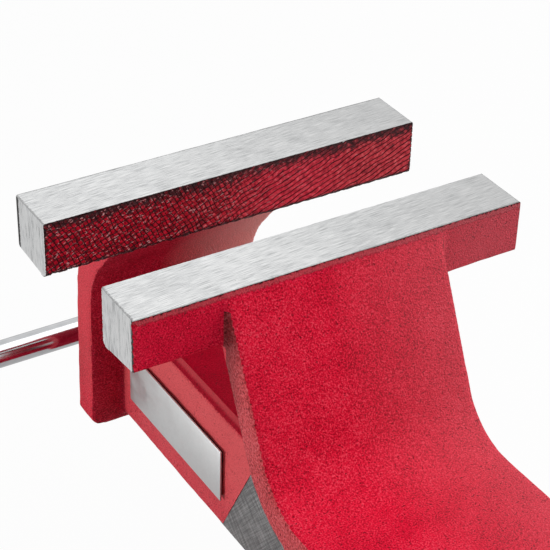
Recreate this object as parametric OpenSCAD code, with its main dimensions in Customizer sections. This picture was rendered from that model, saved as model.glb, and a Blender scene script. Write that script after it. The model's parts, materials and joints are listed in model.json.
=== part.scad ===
// Swivel bench vise with 125 mm cast jaws, in millimetres, +Z up.
// The origin is on the swivel axis at the bench plane.
// The handle side is towards -Y and the anvil towards +Y.
// Left and right are as seen by someone standing at the handle.

/* [Jaws] */
// Width of both jaws
jaw_w = 125; // [100:1:150]
// Depth of each jaw bar along the slide
jaw_d = 18.5; // [14:0.5:24]
// Height of the serrated faces
jaw_face_h = 18.5; // [16:0.5:24]
// Height of the jaw bars at their back
jaw_back_h = 17; // [14:0.5:22]
// Gap between the jaws in the drawn pose
jaw_gap = 36; // [4:1:80]
// Gap between the jaws when fully open
jaw_open = 124; // [90:1:130]
// Height of the jaw tops over the anvil
jaw_rise = 56; // [48:1:66]
// Distance of the fixed serrated face from the swivel axis
jaw_overhang = 79; // [70:1:95]

/* [Front casting] */
// Width of the front wall and its neck
front_w = 60; // [48:1:76]
// Thickness of the front wall
front_t = 10.5; // [8:0.5:14]
// Distance of the wall's inside from the moving serrated face
front_reach = 41; // [34:1:50]
// How far under the jaw's top the outside of the neck meets the jaw's back
neck_meet = 11; // [8:0.5:14]
// Radius of the bend between neck and wall
neck_r = 30; // [20:1:40]
// Height over the slide's shoulders at which the wall starts to bend
bend_lift = 4; // [2:0.5:8]
// How far the wall leans out towards its bottom
wall_draft = 2; // [0:0.5:3]
// How far the wall reaches under the slide
skirt = 3; // [1:0.5:6]
// Radius of the wall's bottom corners
wall_corner = 4; // [3:1:12]
// Radius of the boss round the spindle
boss_r = 21; // [18:1:24]
// How far the boss stands in front of the wall's bottom
boss_out = 1.5; // [0.5:0.5:5]

/* [Slide] */
// Width of the slide
slide_w = 37; // [34:1:44]
// Height of the slide's sides
slide_h = 42; // [40:1:46]
// Width of the shoulder on each side of the slide's raised rib
shoulder_w = 2; // [1:0.5:6]
// Height of the raised rib
rib_h = 3; // [1:0.5:4]
// Thickness of the slide's side walls
slide_wall = 5.5; // [4:0.5:7]
// Thickness of the slide's roof at its shoulders
slide_roof = 9.5; // [7:0.5:11]
// Clearance between slide and tunnel
slide_clear = 0.1; // [0.05:0.05:0.3]

/* [Body] */
// Width of the neck behind the fixed jaw, and of the anvil
anvil_w = 70; // [60:1:84]
// Thickness of the body between the tunnel and the anvil's top
roof_t = 9; // [7:0.5:14]
// Thickness of the fixed neck
ramp_t = 10; // [8:0.5:10]
// Slope of the fixed neck
ramp_slope = 64; // [58:1:72]
// Radius between the fixed neck and the anvil
ramp_r = 21; // [16:1:36]
// Depth of the crease where the fixed neck meets its jaw
crease = 2; // [1:0.5:6]
// Length of the anvil's flat top
anvil_len = 70; // [56:1:85]
// Thickness of the body on each side of the tunnel
waist_wall = 11.5; // [9:0.5:13]
// Distance of the tunnel's mouth from the swivel axis
tunnel_front = 41; // [36:1:46]
// Lean of the tunnel's mouth from the vertical
mouth_lean = 30; // [20:1:34]
// Distance of the tunnel's rear end from the swivel axis
tunnel_rear = 45; // [36:1:50]
// Thickness of the body between its flange and the tunnel
floor_t = 20; // [16:1:26]
// Thickness of the body's round flange
flange_t = 12; // [9:0.5:14]

/* [Swivel base] */
// Diameter of the base's top face and the flange
ring_d = 160; // [152:1:172]
// How far the base's foot stands out at the bench
foot_out = 4; // [2:0.5:10]
// Height of the base
base_h = 34; // [30:1:36]
// Thickness of the base's wall
base_wall = 6; // [5:0.5:9]
// Thickness of the lip round the base's opening
lip_t = 12; // [9:0.5:13]
// How far the lip reaches in from the wall
lip_reach = 11; // [9:0.5:13]
// Distance of the bench bolts from the foot's edge
lug_out = 9; // [7:0.5:20]
// Number of bench bolts
lug_count = 4; // [3:1:4]
// Diameter of the bench bolt holes
lug_hole_d = 13; // [9:0.5:15]
// Radius of the lugs' round ends
lug_r = 16; // [13:0.5:20]
// Thickness of the lugs
lug_t = 14; // [10:0.5:18]

/* [Spindle] */
// Outside diameter of the spindle's thread
spindle_d = 20; // [16:1:20]
// Lead of the thread
lead = 4; // [3:0.5:6]
// Gap between the spindle and the slide's roof
roof_gap = 2.5; // [1.5:0.5:3.5]
// Diameter of the spindle's head
head_d = 32; // [28:1:38]
// Length of the spindle's head
head_len = 20; // [16:1:26]
// Thickness of the thrust washer
thrust_t = 2; // [1:0.5:3]
// Length of the nut in the tunnel
nut_len = 42; // [30:1:50]
// Radial clearance of running fits
run_clear = 0.05; // [0.02:0.01:0.09]

/* [Handle] */
// Diameter of the handle bar
bar_d = 9; // [7:0.5:11]
// Length of the handle bar between its knobs
bar_len = 150; // [120:1:156]
// Diameter of the handle's knobs
knob_d = 14; // [12:0.5:18]
// Length of the handle's knobs
knob_len = 8; // [5:0.5:12]

/* [Swivel locks] */
// Gap between each lock bolt and the edge of the base's opening
lock_inset = 2; // [1:0.5:4]
// Diameter of the lock bolts
lock_d = 10; // [8:0.5:11]
// Diameter of the lock bolts' heads
lock_head_d = 16; // [14:0.5:18]
// Height of the lock bolts' heads
lock_head_h = 24; // [20:1:30]
// Distance of the lock bars from the tops of the heads
lock_bar_drop = 9; // [6:0.5:12]
// Thickness of the lock disc under the base's lip
disc_t = 9; // [6:0.5:9]
// Gap between the disc and the base's wall
disc_gap = 2; // [1:0.5:4]
// Diameter of the lock bars
lock_bar_d = 6; // [5:0.5:7]
// Length of the lock bars between their knobs
lock_bar_len = 44; // [36:1:50]
// Diameter of the lock bars' knobs
lock_knob_d = 10; // [8:0.5:11]
// Length of the lock bars' knobs
lock_knob_len = 5; // [3:0.5:6]

/* [Plate] */
// Length of the bare plate on the slide's side
plate_len = 60; // [40:1:62]
// Height of the plate
plate_h = 19; // [12:1:24]
// Thickness of the plate
plate_t = 0.6; // [0.5:0.1:1.2]
// Thickness of the foam tape behind the plate
tape_t = 1; // [0.5:0.1:1.2]
// Distance of the plate from the front wall
plate_gap = 7; // [4:0.5:12]

/* [Hidden] */
$fn = 96;

cast_red = [0.72, 0.05, 0.11];
bright_steel = [0.78, 0.79, 0.81];
dark_steel = [0.35, 0.35, 0.37];
chrome_plate = [0.88, 0.89, 0.91];
tape_black = [0.06, 0.06, 0.07];

// Small amount by which joined shapes reach into each other, and cuts reach past a face
bite = 1;
// Number of points on a bend of an outline
arc_steps = 10;
// Directions in an outline, in degrees
up = 90;
left = 180;
down = 270;
// Radius of small fillets and chamfers
edge_r = 1.5;
// Gap of a bolt in its clearance hole
bolt_clear = 0.5;
// Gap between pieces that fit by hand
hand_clear = 0.3;
// Gap between pressed pieces of one body
press_clear = 0.02;

// Places along the slide
fixed_face_y = -jaw_overhang;
fixed_back_y = fixed_face_y + jaw_d;
moving_face_y = fixed_face_y - jaw_gap;
moving_back_y = moving_face_y - jaw_d;
wall_in_y = moving_face_y - front_reach;
wall_foot_y = wall_in_y - wall_draft;
boss_face_y = wall_foot_y - front_t - boss_out;
head_back_y = boss_face_y - thrust_t;
head_front_y = head_back_y - head_len;
bar_y = (head_back_y + head_front_y) / 2;
nut_setback = 3;
nut_front_y = -tunnel_front + nut_setback;
nut_rear_y = nut_front_y + nut_len;
nut_mid_y = (nut_front_y + nut_rear_y) / 2;
spindle_past_nut = 6;
spindle_rear_y = nut_rear_y + jaw_open - jaw_gap + spindle_past_nut;
slide_past_spindle = 2;
slide_rear_y = spindle_rear_y + slide_past_spindle;

// Radii and half widths
spindle_r = spindle_d / 2;
slide_half = slide_w / 2;
rib_half = slide_half - shoulder_w;
channel_half = slide_half - slide_wall;
nut_half = channel_half - hand_clear;
waist_half_w = slide_half + waist_wall;
bar_r = bar_d / 2;
ring_r = ring_d / 2;
foot_r = ring_r + foot_out;
cavity_r = ring_r - base_wall;
opening_r = cavity_r - lip_reach;
lug_x = foot_r + lug_out;

// Heights over the bench
lip_bottom = base_h - lip_t;
disc_bottom = lip_bottom - disc_t;
flange_top = base_h + flange_t;
slide_bottom = flange_top + floor_t;
wall_bottom = slide_bottom - skirt;
shoulder_z = slide_bottom + slide_h;
channel_top = shoulder_z - slide_roof;
spindle_z = channel_top - roof_gap - spindle_r;
neck_bend_z = shoulder_z + bend_lift;
rib_top = shoulder_z + rib_h;
anvil_top = rib_top + roof_t;
jaw_top = anvil_top + jaw_rise;
jaw_bottom = jaw_top - jaw_face_h;

// Swivel base
spigot_t = 6;
lug_root_half = 24;
lug_pad_h = 1;
lug_pad_inset = 3;
first_lug = 45;

// The front wall's bend and the neck, whose outside touches the bend and runs up to the jaw's back
bend_y = wall_in_y + neck_r;
bend_out_r = neck_r + front_t;
meet_dy = moving_back_y - bend_y;
meet_dz = jaw_top - neck_meet - neck_bend_z;
neck_turn = atan2(meet_dz, meet_dy) + acos(bend_out_r / norm([meet_dy, meet_dz]));
neck_slope = neck_turn - up;
neck_end_y = moving_face_y - jaw_d / 3;

// The fixed neck's bend into the anvil's top
bend_drop = ramp_r * (1 - cos(ramp_slope));
ramp_run = (jaw_top - crease - anvil_top - bend_drop) / tan(ramp_slope);
anvil_front_y = fixed_back_y + ramp_run + ramp_r * sin(ramp_slope);
anvil_rear_y = anvil_front_y + anvil_len;
anvil_t = ramp_t;
ramp_start_y = fixed_back_y - jaw_d / 2;

// The body under the anvil: how its side outline starts and ends, and how its waist widens
toe = 2;
heel = 12;
tail_inset = 4;
tail_drop = 24;
waist_flare = 8;
shelf_drop = 16;
shelf_edge = 5;

// Nut bolt
nut_bolt_r = 5;
nut_bolt_head_r = 9;
nut_bolt_head_h = 7;
nut_washer_r = 10;
nut_washer_t = 2;
nut_counterbore_r = 11;
nut_bolt_seat_depth = 2;
nut_bolt_seat_z = flange_top - nut_bolt_seat_depth;
nut_bolt_gap = 1;
nut_bolt_top_z = spindle_z - spindle_r - nut_bolt_gap;

// Spindle: the washer's rim round the head, and the thread's crest and flanks as shares of the lead
thrust_rim = 1;
crest_share = 0.37;
flank_share = 0.13;

// Retaining collar and its pin
collar_len = 8;
collar_gap = 0.5;
collar_r = channel_half - collar_gap;
collar_mid_y = wall_in_y + collar_len / 2;
pin_r = 1.5;

// Studs on which the knobs sit, as a share of the bar, and the metal over their ends
stud_share = 0.65;
stud_cover = 2;
stud_r = bar_r * stud_share;
stud_len = knob_len - stud_cover;

// Lock hardware
lock_r = lock_d / 2;
lock_washer_t = 2;
lock_washer_r = 11;
lock_x = opening_r - lock_inset - lock_r;
lock_head_z = flange_top + lock_washer_t;
lock_bar_z = lock_head_z + lock_head_h - lock_bar_drop;
lock_bar_r = lock_bar_d / 2;
lock_stud_cover = 1.5;
lock_stud_r = lock_bar_r * stud_share;
lock_stud_len = lock_knob_len - lock_stud_cover;
lock_tip = 2;
disc_rim = 8;
disc_relief = 1;
disc_hole_r = 14;

// Plate, which stands at half the height of the slide's side
plate_y0 = wall_in_y + plate_gap;
plate_z0 = slide_bottom + slide_h / 2 - plate_h / 2;
tape_inset = 0.5;

// Points of a bend about a centre, from one angle to another
function bend(cy, cz, r, a0, a1) =
    [for (i = [0 : arc_steps]) let (a = a0 + (a1 - a0) * i / arc_steps) [cy + r * cos(a), cz + r * sin(a)]];

// Place of the tunnel's leaning mouth along the slide, at a height
function mouth_y(z) = -tunnel_front + (z - spindle_z) * tan(mouth_lean);

// An outline drawn in Y and Z, made w wide and centred on X
module across(w) {
    translate([-w / 2, 0, 0])
        rotate([90, 0, 90])
            linear_extrude(w)
                children();
}

// An outline drawn in X and Z, run from y0 to y1
module along(y0, y1) {
    translate([0, y1, 0])
        rotate([90, 0, 0])
            linear_extrude(y1 - y0)
                children();
}

// A round bar along Y
module rod_y(r, y0, y1, x = 0, z = spindle_z) {
    translate([x, y1, z])
        rotate([90, 0, 0])
            cylinder(h = y1 - y0, r = r);
}

// A round bar along X
module rod_x(r, x0, x1, y, z) {
    translate([x0, y, z])
        rotate([0, 90, 0])
            cylinder(h = x1 - x0, r = r);
}

// A flat ring lying on z0
module ring(outer, inner, z0, h) {
    translate([0, 0, z0])
        difference() {
            cylinder(h = h, r = outer);
            translate([0, 0, -bite])
                cylinder(h = h + 2 * bite, r = inner);
        }
}

// One jaw bar: side +1 has its serrated face towards -Y, side -1 towards +Y
module jaw_bar(face_y, side) {
    across(jaw_w)
        polygon([
            [face_y, jaw_top], [face_y, jaw_bottom],
            [face_y + side * jaw_d, jaw_top - jaw_back_h], [face_y + side * jaw_d, jaw_top]
        ]);
}

// A rod's end knob, a barrel with rounded rims that stands on z = 0
module knob(d, h, hole_r, hole_h) {
    rotate_extrude()
        polygon([
            [0, hole_h], [hole_r, hole_h], [hole_r, 0], [d / 2 - edge_r, 0], [d / 2, edge_r],
            [d / 2, h - edge_r], [d / 2 - edge_r, h], [0, h]
        ]);
}

// A bar along Z, centred, with a thinner stud on each end
module studded_bar(r, len, stud_r, stud_len) {
    cylinder(h = len, r = r, center = true);
    cylinder(h = len + 2 * stud_len, r = stud_r, center = true);
}

// The base: a hollow ring with a lip on top, and lugs for the bench bolts
module swivel_base() {
    color(cast_red)
        difference() {
            union() {
                rotate_extrude()
                    polygon([
                        [0, 0], [foot_r, 0], [foot_r, lug_t / 2], [ring_r, lip_bottom],
                        [ring_r, base_h - edge_r], [ring_r - edge_r, base_h], [0, base_h]
                    ]);
                at_lugs()
                    lug();
            }
            translate([0, 0, -bite])
                cylinder(h = base_h + 2 * bite, r = opening_r);
            translate([0, 0, -bite])
                cylinder(h = lip_bottom + bite, r = cavity_r);
            at_lugs()
                translate([lug_x, 0, -bite])
                    cylinder(h = lug_t + lug_pad_h + 2 * bite, r = lug_hole_d / 2);
        }
}

module at_lugs() {
    for (i = [0 : lug_count - 1])
        rotate([0, 0, first_lug + i * 360 / lug_count])
            children();
}

// One lug along +X: straight sides that touch its round end, and a raised pad for the bolt's head
module lug() {
    root_dx = lug_x - cavity_r;
    touch = atan2(lug_root_half, -root_dx) - acos(lug_r / norm([root_dx, lug_root_half]));
    touch_x = lug_x + lug_r * cos(touch);
    touch_y = lug_r * sin(touch);
    linear_extrude(lug_t)
        polygon([
            [cavity_r, -lug_root_half], [touch_x, -touch_y],
            [touch_x, touch_y], [cavity_r, lug_root_half]
        ]);
    translate([lug_x, 0, 0])
        cylinder(h = lug_t, r = lug_r);
    translate([lug_x, 0, lug_t - bite])
        cylinder(h = lug_pad_h + bite, r = lug_r - lug_pad_inset);
}

// Outline of the fixed neck and the anvil plate, in Y and Z
module neck_outline() {
    under_r = ramp_r + ramp_t;
    under_y = anvil_front_y - under_r * sin(ramp_slope);
    under_z = anvil_top + ramp_r - under_r * cos(ramp_slope);
    root_z = jaw_top - jaw_back_h + bite;
    polygon(concat(
        [[ramp_start_y, jaw_top - crease - bite], [fixed_back_y, jaw_top - crease]],
        bend(anvil_front_y, anvil_top + ramp_r, ramp_r, down - ramp_slope, down),
        [[anvil_rear_y, anvil_top], [anvil_rear_y, anvil_top - anvil_t]],
        bend(anvil_front_y, anvil_top + ramp_r, under_r, down, down - ramp_slope),
        [[under_y - (root_z - under_z) / tan(ramp_slope), root_z]]
    ));
}

// Outline of the body under the anvil, seen from the side
module side_outline() {
    top = anvil_top - anvil_t + bite;
    polygon([
        [mouth_y(flange_top) - toe, flange_top - bite], [mouth_y(top), top],
        [anvil_rear_y - tail_inset, top], [tunnel_rear, anvil_top - tail_drop],
        [tunnel_rear, slide_bottom], [tunnel_rear + heel, flange_top - bite]
    ]);
}

// Outline of the body under the anvil, seen from the handle, one half
module waist_half() {
    foot_x = waist_half_w + waist_flare;
    top = anvil_top - anvil_t + bite;
    polygon(concat(
        [[0, flange_top - bite], [foot_x, flange_top - bite]],
        bend(foot_x, flange_top + waist_flare, waist_flare, down, left),
        [[waist_half_w, top - shelf_drop], [anvil_w / 2, top - shelf_edge], [anvil_w / 2, top], [0, top]]
    ));
}

// Cross-section of the slide, with a gap all round for the tunnel
module slide_section(gap) {
    polygon([
        [-slide_half - gap, slide_bottom - gap], [slide_half + gap, slide_bottom - gap],
        [slide_half + gap, shoulder_z + gap], [rib_half + gap, shoulder_z + gap],
        [rib_half + gap, rib_top + gap], [-rib_half - gap, rib_top + gap],
        [-rib_half - gap, shoulder_z + gap], [-slide_half - gap, shoulder_z + gap]
    ]);
}

// The fixed casting: jaw, neck, anvil, slide tunnel and round flange
module fixed_body() {
    color(cast_red)
        difference() {
            union() {
                jaw_bar(fixed_face_y, 1);
                across(anvil_w)
                    neck_outline();
                intersection() {
                    across(anvil_w + 2 * flange_t)
                        side_outline();
                    along(-ring_d, ring_d)
                        union() {
                            waist_half();
                            mirror([1, 0, 0])
                                waist_half();
                        }
                }
                translate([0, 0, base_h])
                    rotate_extrude()
                        polygon([
                            [0, 0], [ring_r - edge_r, 0], [ring_r, edge_r],
                            [ring_r, flange_t - edge_r], [ring_r - edge_r, flange_t], [0, flange_t]
                        ]);
                translate([0, 0, base_h - spigot_t])
                    cylinder(h = spigot_t + bite, r = opening_r - run_clear);
            }
            along(-ring_r - bite, ring_r + bite)
                slide_section(slide_clear);
            translate([0, nut_mid_y, base_h - spigot_t - bite])
                cylinder(h = slide_bottom, r = nut_bolt_r + bolt_clear);
            translate([0, nut_mid_y, base_h - spigot_t - bite])
                cylinder(h = nut_bolt_seat_z - base_h + spigot_t + bite, r = nut_counterbore_r);
            for (x = [-lock_x, lock_x])
                translate([x, 0, base_h - spigot_t - bite])
                    cylinder(h = flange_t + spigot_t + 2 * bite, r = lock_r + bolt_clear);
        }
}

// The disc that the lock bolts pull up against the base's lip
module lock_disc() {
    disc_r = cavity_r - disc_gap;
    rim_r = disc_r - disc_rim;
    color(dark_steel)
        difference() {
            translate([0, 0, disc_bottom])
                rotate_extrude()
                    polygon([
                        [disc_hole_r, 0], [disc_r - edge_r, 0], [disc_r, edge_r], [disc_r, disc_t],
                        [rim_r, disc_t], [rim_r - disc_relief, disc_t - disc_relief],
                        [disc_hole_r, disc_t - disc_relief]
                    ]);
            for (x = [-lock_x, lock_x])
                translate([x, 0, disc_bottom - bite])
                    cylinder(h = disc_t + 2 * bite, r = lock_r + run_clear);
        }
}

// The block in the tunnel that the spindle screws through
module spindle_nut() {
    floor_z = slide_bottom - slide_clear;
    color(dark_steel)
        difference() {
            translate([-nut_half, nut_front_y, floor_z])
                cube([2 * nut_half, nut_len, channel_top - hand_clear - floor_z]);
            rod_y(spindle_r + run_clear, nut_front_y - bite, nut_rear_y + bite);
            translate([0, nut_mid_y, floor_z - bite])
                cylinder(h = spindle_z - floor_z, r = nut_bolt_r + press_clear);
        }
}

// The hexagon bolt that holds the nut, from under the flange
module nut_bolt() {
    head_z = nut_bolt_seat_z - nut_washer_t - nut_bolt_head_h;
    color(bright_steel)
        translate([0, nut_mid_y, head_z]) {
            cylinder(h = nut_bolt_head_h, r = nut_bolt_head_r, $fn = 6);
            cylinder(h = nut_bolt_top_z - head_z, r = nut_bolt_r);
        }
}

module nut_washer() {
    color(bright_steel)
        translate([0, nut_mid_y, 0])
            ring(nut_washer_r, nut_bolt_r + hand_clear, nut_bolt_seat_z - nut_washer_t, nut_washer_t);
}

module lock_washers() {
    color(bright_steel)
        for (x = [-lock_x, lock_x])
            translate([x, 0, 0])
                ring(lock_washer_r, lock_r + hand_clear, flange_top, lock_washer_t);
}

// Outline of the front wall and its neck, in Y and Z
module wall_outline() {
    in_y = bend_y + neck_r * cos(neck_turn);
    in_z = neck_bend_z + neck_r * sin(neck_turn);
    meet_z = jaw_top - neck_meet;
    polygon(concat(
        [[neck_end_y, in_z + (neck_end_y - in_y) * tan(neck_slope)]],
        bend(bend_y, neck_bend_z, neck_r, neck_turn, left),
        [[wall_foot_y, wall_bottom], [wall_foot_y - front_t, wall_bottom]],
        bend(bend_y, neck_bend_z, bend_out_r, left, neck_turn),
        [[moving_back_y + bite, meet_z + bite * tan(neck_slope)]]
    ));
}

// Outline of the front wall seen from the handle
module wall_front() {
    half = front_w / 2;
    z = wall_bottom + wall_corner;
    polygon(concat(
        [[-half, jaw_top], [-half, z]],
        bend(-half + wall_corner, z, wall_corner, left, down),
        bend(half - wall_corner, z, wall_corner, down, down + up),
        [[half, jaw_top]]
    ));
}

// The moving casting: jaw, neck, front wall and the slide as an upside-down channel
module moving_jaw() {
    color(cast_red)
        difference() {
            union() {
                jaw_bar(moving_face_y, -1);
                intersection() {
                    across(front_w)
                        wall_outline();
                    along(boss_face_y - bite, moving_face_y - bite)
                        wall_front();
                }
                rod_y(boss_r, boss_face_y, wall_in_y - 2 * bite);
                along(wall_foot_y - bite, slide_rear_y)
                    slide_section(0);
            }
            translate([-channel_half, wall_in_y, slide_bottom - bite])
                cube([
                    2 * channel_half, slide_rear_y - wall_in_y + bite,
                    channel_top - slide_bottom + bite
                ]);
            rod_y(spindle_r + run_clear, boss_face_y - bite, wall_in_y + bite);
        }
}

// The bare plate on the slide's right side
module name_plate() {
    color(bright_steel)
        translate([slide_half + tape_t, plate_y0, plate_z0])
            cube([plate_t, plate_len, plate_h]);
}

module plate_tape() {
    color(tape_black)
        translate([slide_half, plate_y0 + tape_inset, plate_z0 + tape_inset])
            cube([tape_t, plate_len - 2 * tape_inset, plate_h - 2 * tape_inset]);
}

module thrust_washer() {
    color(bright_steel)
        difference() {
            rod_y(head_d / 2 + thrust_rim, head_back_y, boss_face_y);
            rod_y(spindle_r + hand_clear, head_back_y - bite, boss_face_y + bite);
        }
}

// The spindle: head with a cross hole, plain journal and trapezoidal thread grooves
module spindle() {
    root_r = spindle_r - lead / 2;
    thread_front_y = wall_in_y + collar_len + lead;
    turns = floor((spindle_rear_y - thread_front_y) / lead);
    thread_len = spindle_rear_y - thread_front_y;
    head_r = head_d / 2;
    color(bright_steel)
        difference() {
            union() {
                translate([0, head_front_y, spindle_z])
                    rotate([-90, 0, 0])
                        rotate_extrude()
                            polygon([
                                [0, 0], [head_r - edge_r, 0], [head_r, edge_r],
                                [head_r, head_len - edge_r], [head_r - edge_r, head_len], [0, head_len]
                            ]);
                rod_y(spindle_r, head_back_y - bite, thread_front_y);
                translate([0, thread_front_y - bite, spindle_z])
                    rotate([-90, 0, 0])
                        cylinder(h = thread_len + bite, r = root_r);
                for (i = [1 : turns])
                    translate([0, thread_front_y + i * lead - lead / 2, spindle_z])
                        rotate([-90, 0, 0])
                            thread_crest(root_r);
            }
            rod_x(bar_r + run_clear, -head_d, head_d, bar_y, spindle_z);
            rod_x(pin_r + press_clear, -collar_r - bite, collar_r + bite, collar_mid_y, spindle_z);
        }
}

// One crest of the thread, standing on z = 0
module thread_crest(root_r) {
    flat = lead * crest_share;
    slope = lead * flank_share;
    rotate_extrude()
        polygon([
            [0, 0], [root_r, 0], [spindle_r, slope], [spindle_r, slope + flat],
            [root_r, 2 * slope + flat], [0, 2 * slope + flat]
        ]);
}

// The collar behind the front wall, which draws the jaw open
module retaining_collar() {
    color(dark_steel)
        difference() {
            rod_y(collar_r, wall_in_y, wall_in_y + collar_len);
            rod_y(spindle_r + press_clear, wall_in_y - bite, wall_in_y + collar_len + bite);
            rod_x(pin_r + press_clear, -collar_r - bite, collar_r + bite, collar_mid_y, spindle_z);
        }
}

module collar_pin() {
    color(bright_steel)
        rod_x(pin_r, -collar_r + hand_clear, collar_r - hand_clear, collar_mid_y, spindle_z);
}

// The handle bar through the spindle's head
module tommy_bar() {
    color(chrome_plate)
        translate([0, bar_y, spindle_z])
            rotate([0, 90, 0])
                studded_bar(bar_r, bar_len, stud_r, stud_len);
}

// side -1 is the left knob and +1 the right one
module tommy_knob(side) {
    color(chrome_plate)
        translate([side * bar_len / 2, bar_y, spindle_z])
            rotate([0, side * 90, 0])
                knob(knob_d, knob_len, stud_r + press_clear, stud_len + press_clear);
}

module tommy_knob_left() {
    tommy_knob(-1);
}

module tommy_knob_right() {
    tommy_knob(1);
}

// A lock bolt on the side given by the sign of side
module lock_bolt(side) {
    head_r = lock_head_d / 2;
    shank_z = disc_bottom - lock_tip;
    color(bright_steel)
        translate([side * lock_x, 0, 0])
            difference() {
                union() {
                    translate([0, 0, shank_z])
                        cylinder(h = lock_head_z - shank_z + bite, r = lock_r);
                    translate([0, 0, lock_head_z])
                        rotate_extrude()
                            polygon([
                                [0, 0], [head_r, 0], [head_r, lock_head_h - edge_r],
                                [head_r - edge_r, lock_head_h], [0, lock_head_h]
                            ]);
                }
                rod_y(lock_bar_r + run_clear, -head_r - bite, head_r + bite, 0, lock_bar_z);
            }
}

module lock_bolt_left() {
    lock_bolt(-1);
}

module lock_bolt_right() {
    lock_bolt(1);
}

// The sliding bar in a lock bolt's head
module lock_bar(side) {
    color(chrome_plate)
        translate([side * lock_x, 0, lock_bar_z])
            rotate([90, 0, 0])
                studded_bar(lock_bar_r, lock_bar_len, lock_stud_r, lock_stud_len);
}

module lock_bar_left() {
    lock_bar(-1);
}

module lock_bar_right() {
    lock_bar(1);
}

module lock_knobs(side) {
    hole_r = lock_stud_r + press_clear;
    hole_h = lock_stud_len + press_clear;
    color(chrome_plate)
        for (end = [-1, 1])
            translate([side * lock_x, end * lock_bar_len / 2, lock_bar_z])
                rotate([-end * 90, 0, 0])
                    knob(lock_knob_d, lock_knob_len, hole_r, hole_h);
}

module lock_knobs_left() {
    lock_knobs(-1);
}

module lock_knobs_right() {
    lock_knobs(1);
}

swivel_base();
fixed_body();
lock_disc();
spindle_nut();
nut_bolt();
nut_washer();
lock_washers();
moving_jaw();
name_plate();
plate_tape();
thrust_washer();
spindle();
retaining_collar();
collar_pin();
tommy_bar();
tommy_knob_left();
tommy_knob_right();
lock_bolt_left();
lock_bolt_right();
lock_bar_left();
lock_bar_right();
lock_knobs_left();
lock_knobs_right();
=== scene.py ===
import contextlib
import json
import math

import bmesh
import bpy
import numpy as np
from mathutils import Matrix, Vector, noise


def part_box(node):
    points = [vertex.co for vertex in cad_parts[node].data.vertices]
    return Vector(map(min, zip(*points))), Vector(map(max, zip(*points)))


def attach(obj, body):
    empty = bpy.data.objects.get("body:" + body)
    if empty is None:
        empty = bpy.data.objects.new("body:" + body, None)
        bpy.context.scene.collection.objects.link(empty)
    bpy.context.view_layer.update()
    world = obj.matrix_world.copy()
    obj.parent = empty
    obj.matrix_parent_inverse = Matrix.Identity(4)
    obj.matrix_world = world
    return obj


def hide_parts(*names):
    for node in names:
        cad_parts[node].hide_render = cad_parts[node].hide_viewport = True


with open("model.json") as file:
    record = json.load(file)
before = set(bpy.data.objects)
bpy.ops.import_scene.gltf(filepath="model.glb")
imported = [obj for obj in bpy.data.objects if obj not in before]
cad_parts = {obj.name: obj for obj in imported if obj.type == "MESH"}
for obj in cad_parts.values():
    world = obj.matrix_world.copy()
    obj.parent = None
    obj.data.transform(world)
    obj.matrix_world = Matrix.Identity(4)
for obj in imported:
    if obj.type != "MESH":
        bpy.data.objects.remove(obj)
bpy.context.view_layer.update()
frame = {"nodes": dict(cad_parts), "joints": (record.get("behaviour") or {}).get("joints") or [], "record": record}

MM = 0.001


# Places and sizes, in millimetres, read from the frame

def span(node):
    """A CAD node's lowest and highest corner in millimetres."""
    low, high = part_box(node)
    return low / MM, high / MM


def middle_of(node):
    low, high = span(node)
    return (low + high) / 2


def mount_mm(name):
    """A mount's place in millimetres."""
    found = next(m for m in frame["record"]["mounts"] if m["name"] == name)
    return Vector(found["pos_m"]) / MM


def joint_mm(name):
    """A joint's place in millimetres."""
    found = next(j for j in frame["joints"] if j["name"] == name)
    return Vector(found["pos_m"]) / MM


jaw_high = span("moving_jaw")[1]
base_high = span("swivel_base")[1]

# A jaw bar is as deep as it is high at the face, and lower at the back
JAW_TOP = jaw_high.z
JAW_HALF = jaw_high.x
JAW_DEPTH = 18.5
JAW_FACE_HEIGHT = 18.5
JAW_FACE_LOW = JAW_TOP - JAW_FACE_HEIGHT
JAW_BACK_HEIGHT = 17
MOVING_FACE = mount_mm("moving_jaw_face").y
FIXED_FACE = mount_mm("fixed_jaw_face").y
SPINDLE_Z = joint_mm("spindle_turn").z
SPINDLE_AXIS = (0, 0, SPINDLE_Z)
BOSS_FACE = joint_mm("spindle_turn").y
WALL_INSIDE_Y = span("retaining_collar")[0].y
# The slide is an upside-down channel with a rib along its top
SLIDE_HALF = span("plate_tape")[0].x
SLIDE_BOTTOM = span("spindle_nut")[0].z + 0.1
SLIDE_SHOULDER = SLIDE_BOTTOM + 42
SLIDE_RIB_HALF = SLIDE_HALF - 2
SLIDE_RIB_TOP = SLIDE_SHOULDER + 3
CHANNEL_HALF = span("retaining_collar")[1].x + 0.5
CHANNEL_TOP = span("spindle_nut")[1].z + 0.3
BASE_TOP = base_high.z
# The round opening of the base, in which the fixed casting's spigot turns
OPENING_R = 63


# Small tools that make meshes

def link(name, mesh):
    piece = bpy.data.objects.new(name, mesh)
    bpy.context.scene.collection.objects.link(piece)
    return piece


@contextlib.contextmanager
def editing(mesh):
    """Opens a mesh for changes and writes them back."""
    shape = bmesh.new()
    shape.from_mesh(mesh)
    yield shape
    shape.to_mesh(mesh)
    shape.free()


def trim(shape, place, direction):
    """Cuts off what lies past a plane through a place in metres."""
    bmesh.ops.bisect_plane(
        shape, geom=shape.verts[:] + shape.edges[:] + shape.faces[:], dist=1e-7,
        plane_co=place, plane_no=direction, clear_outer=True)


def close(shape):
    """Fills a shape's open ends and turns its faces outwards."""
    bmesh.ops.holes_fill(shape, edges=[edge for edge in shape.edges if edge.is_boundary], sides=0)
    bmesh.ops.recalc_face_normals(shape, faces=shape.faces)


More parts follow.
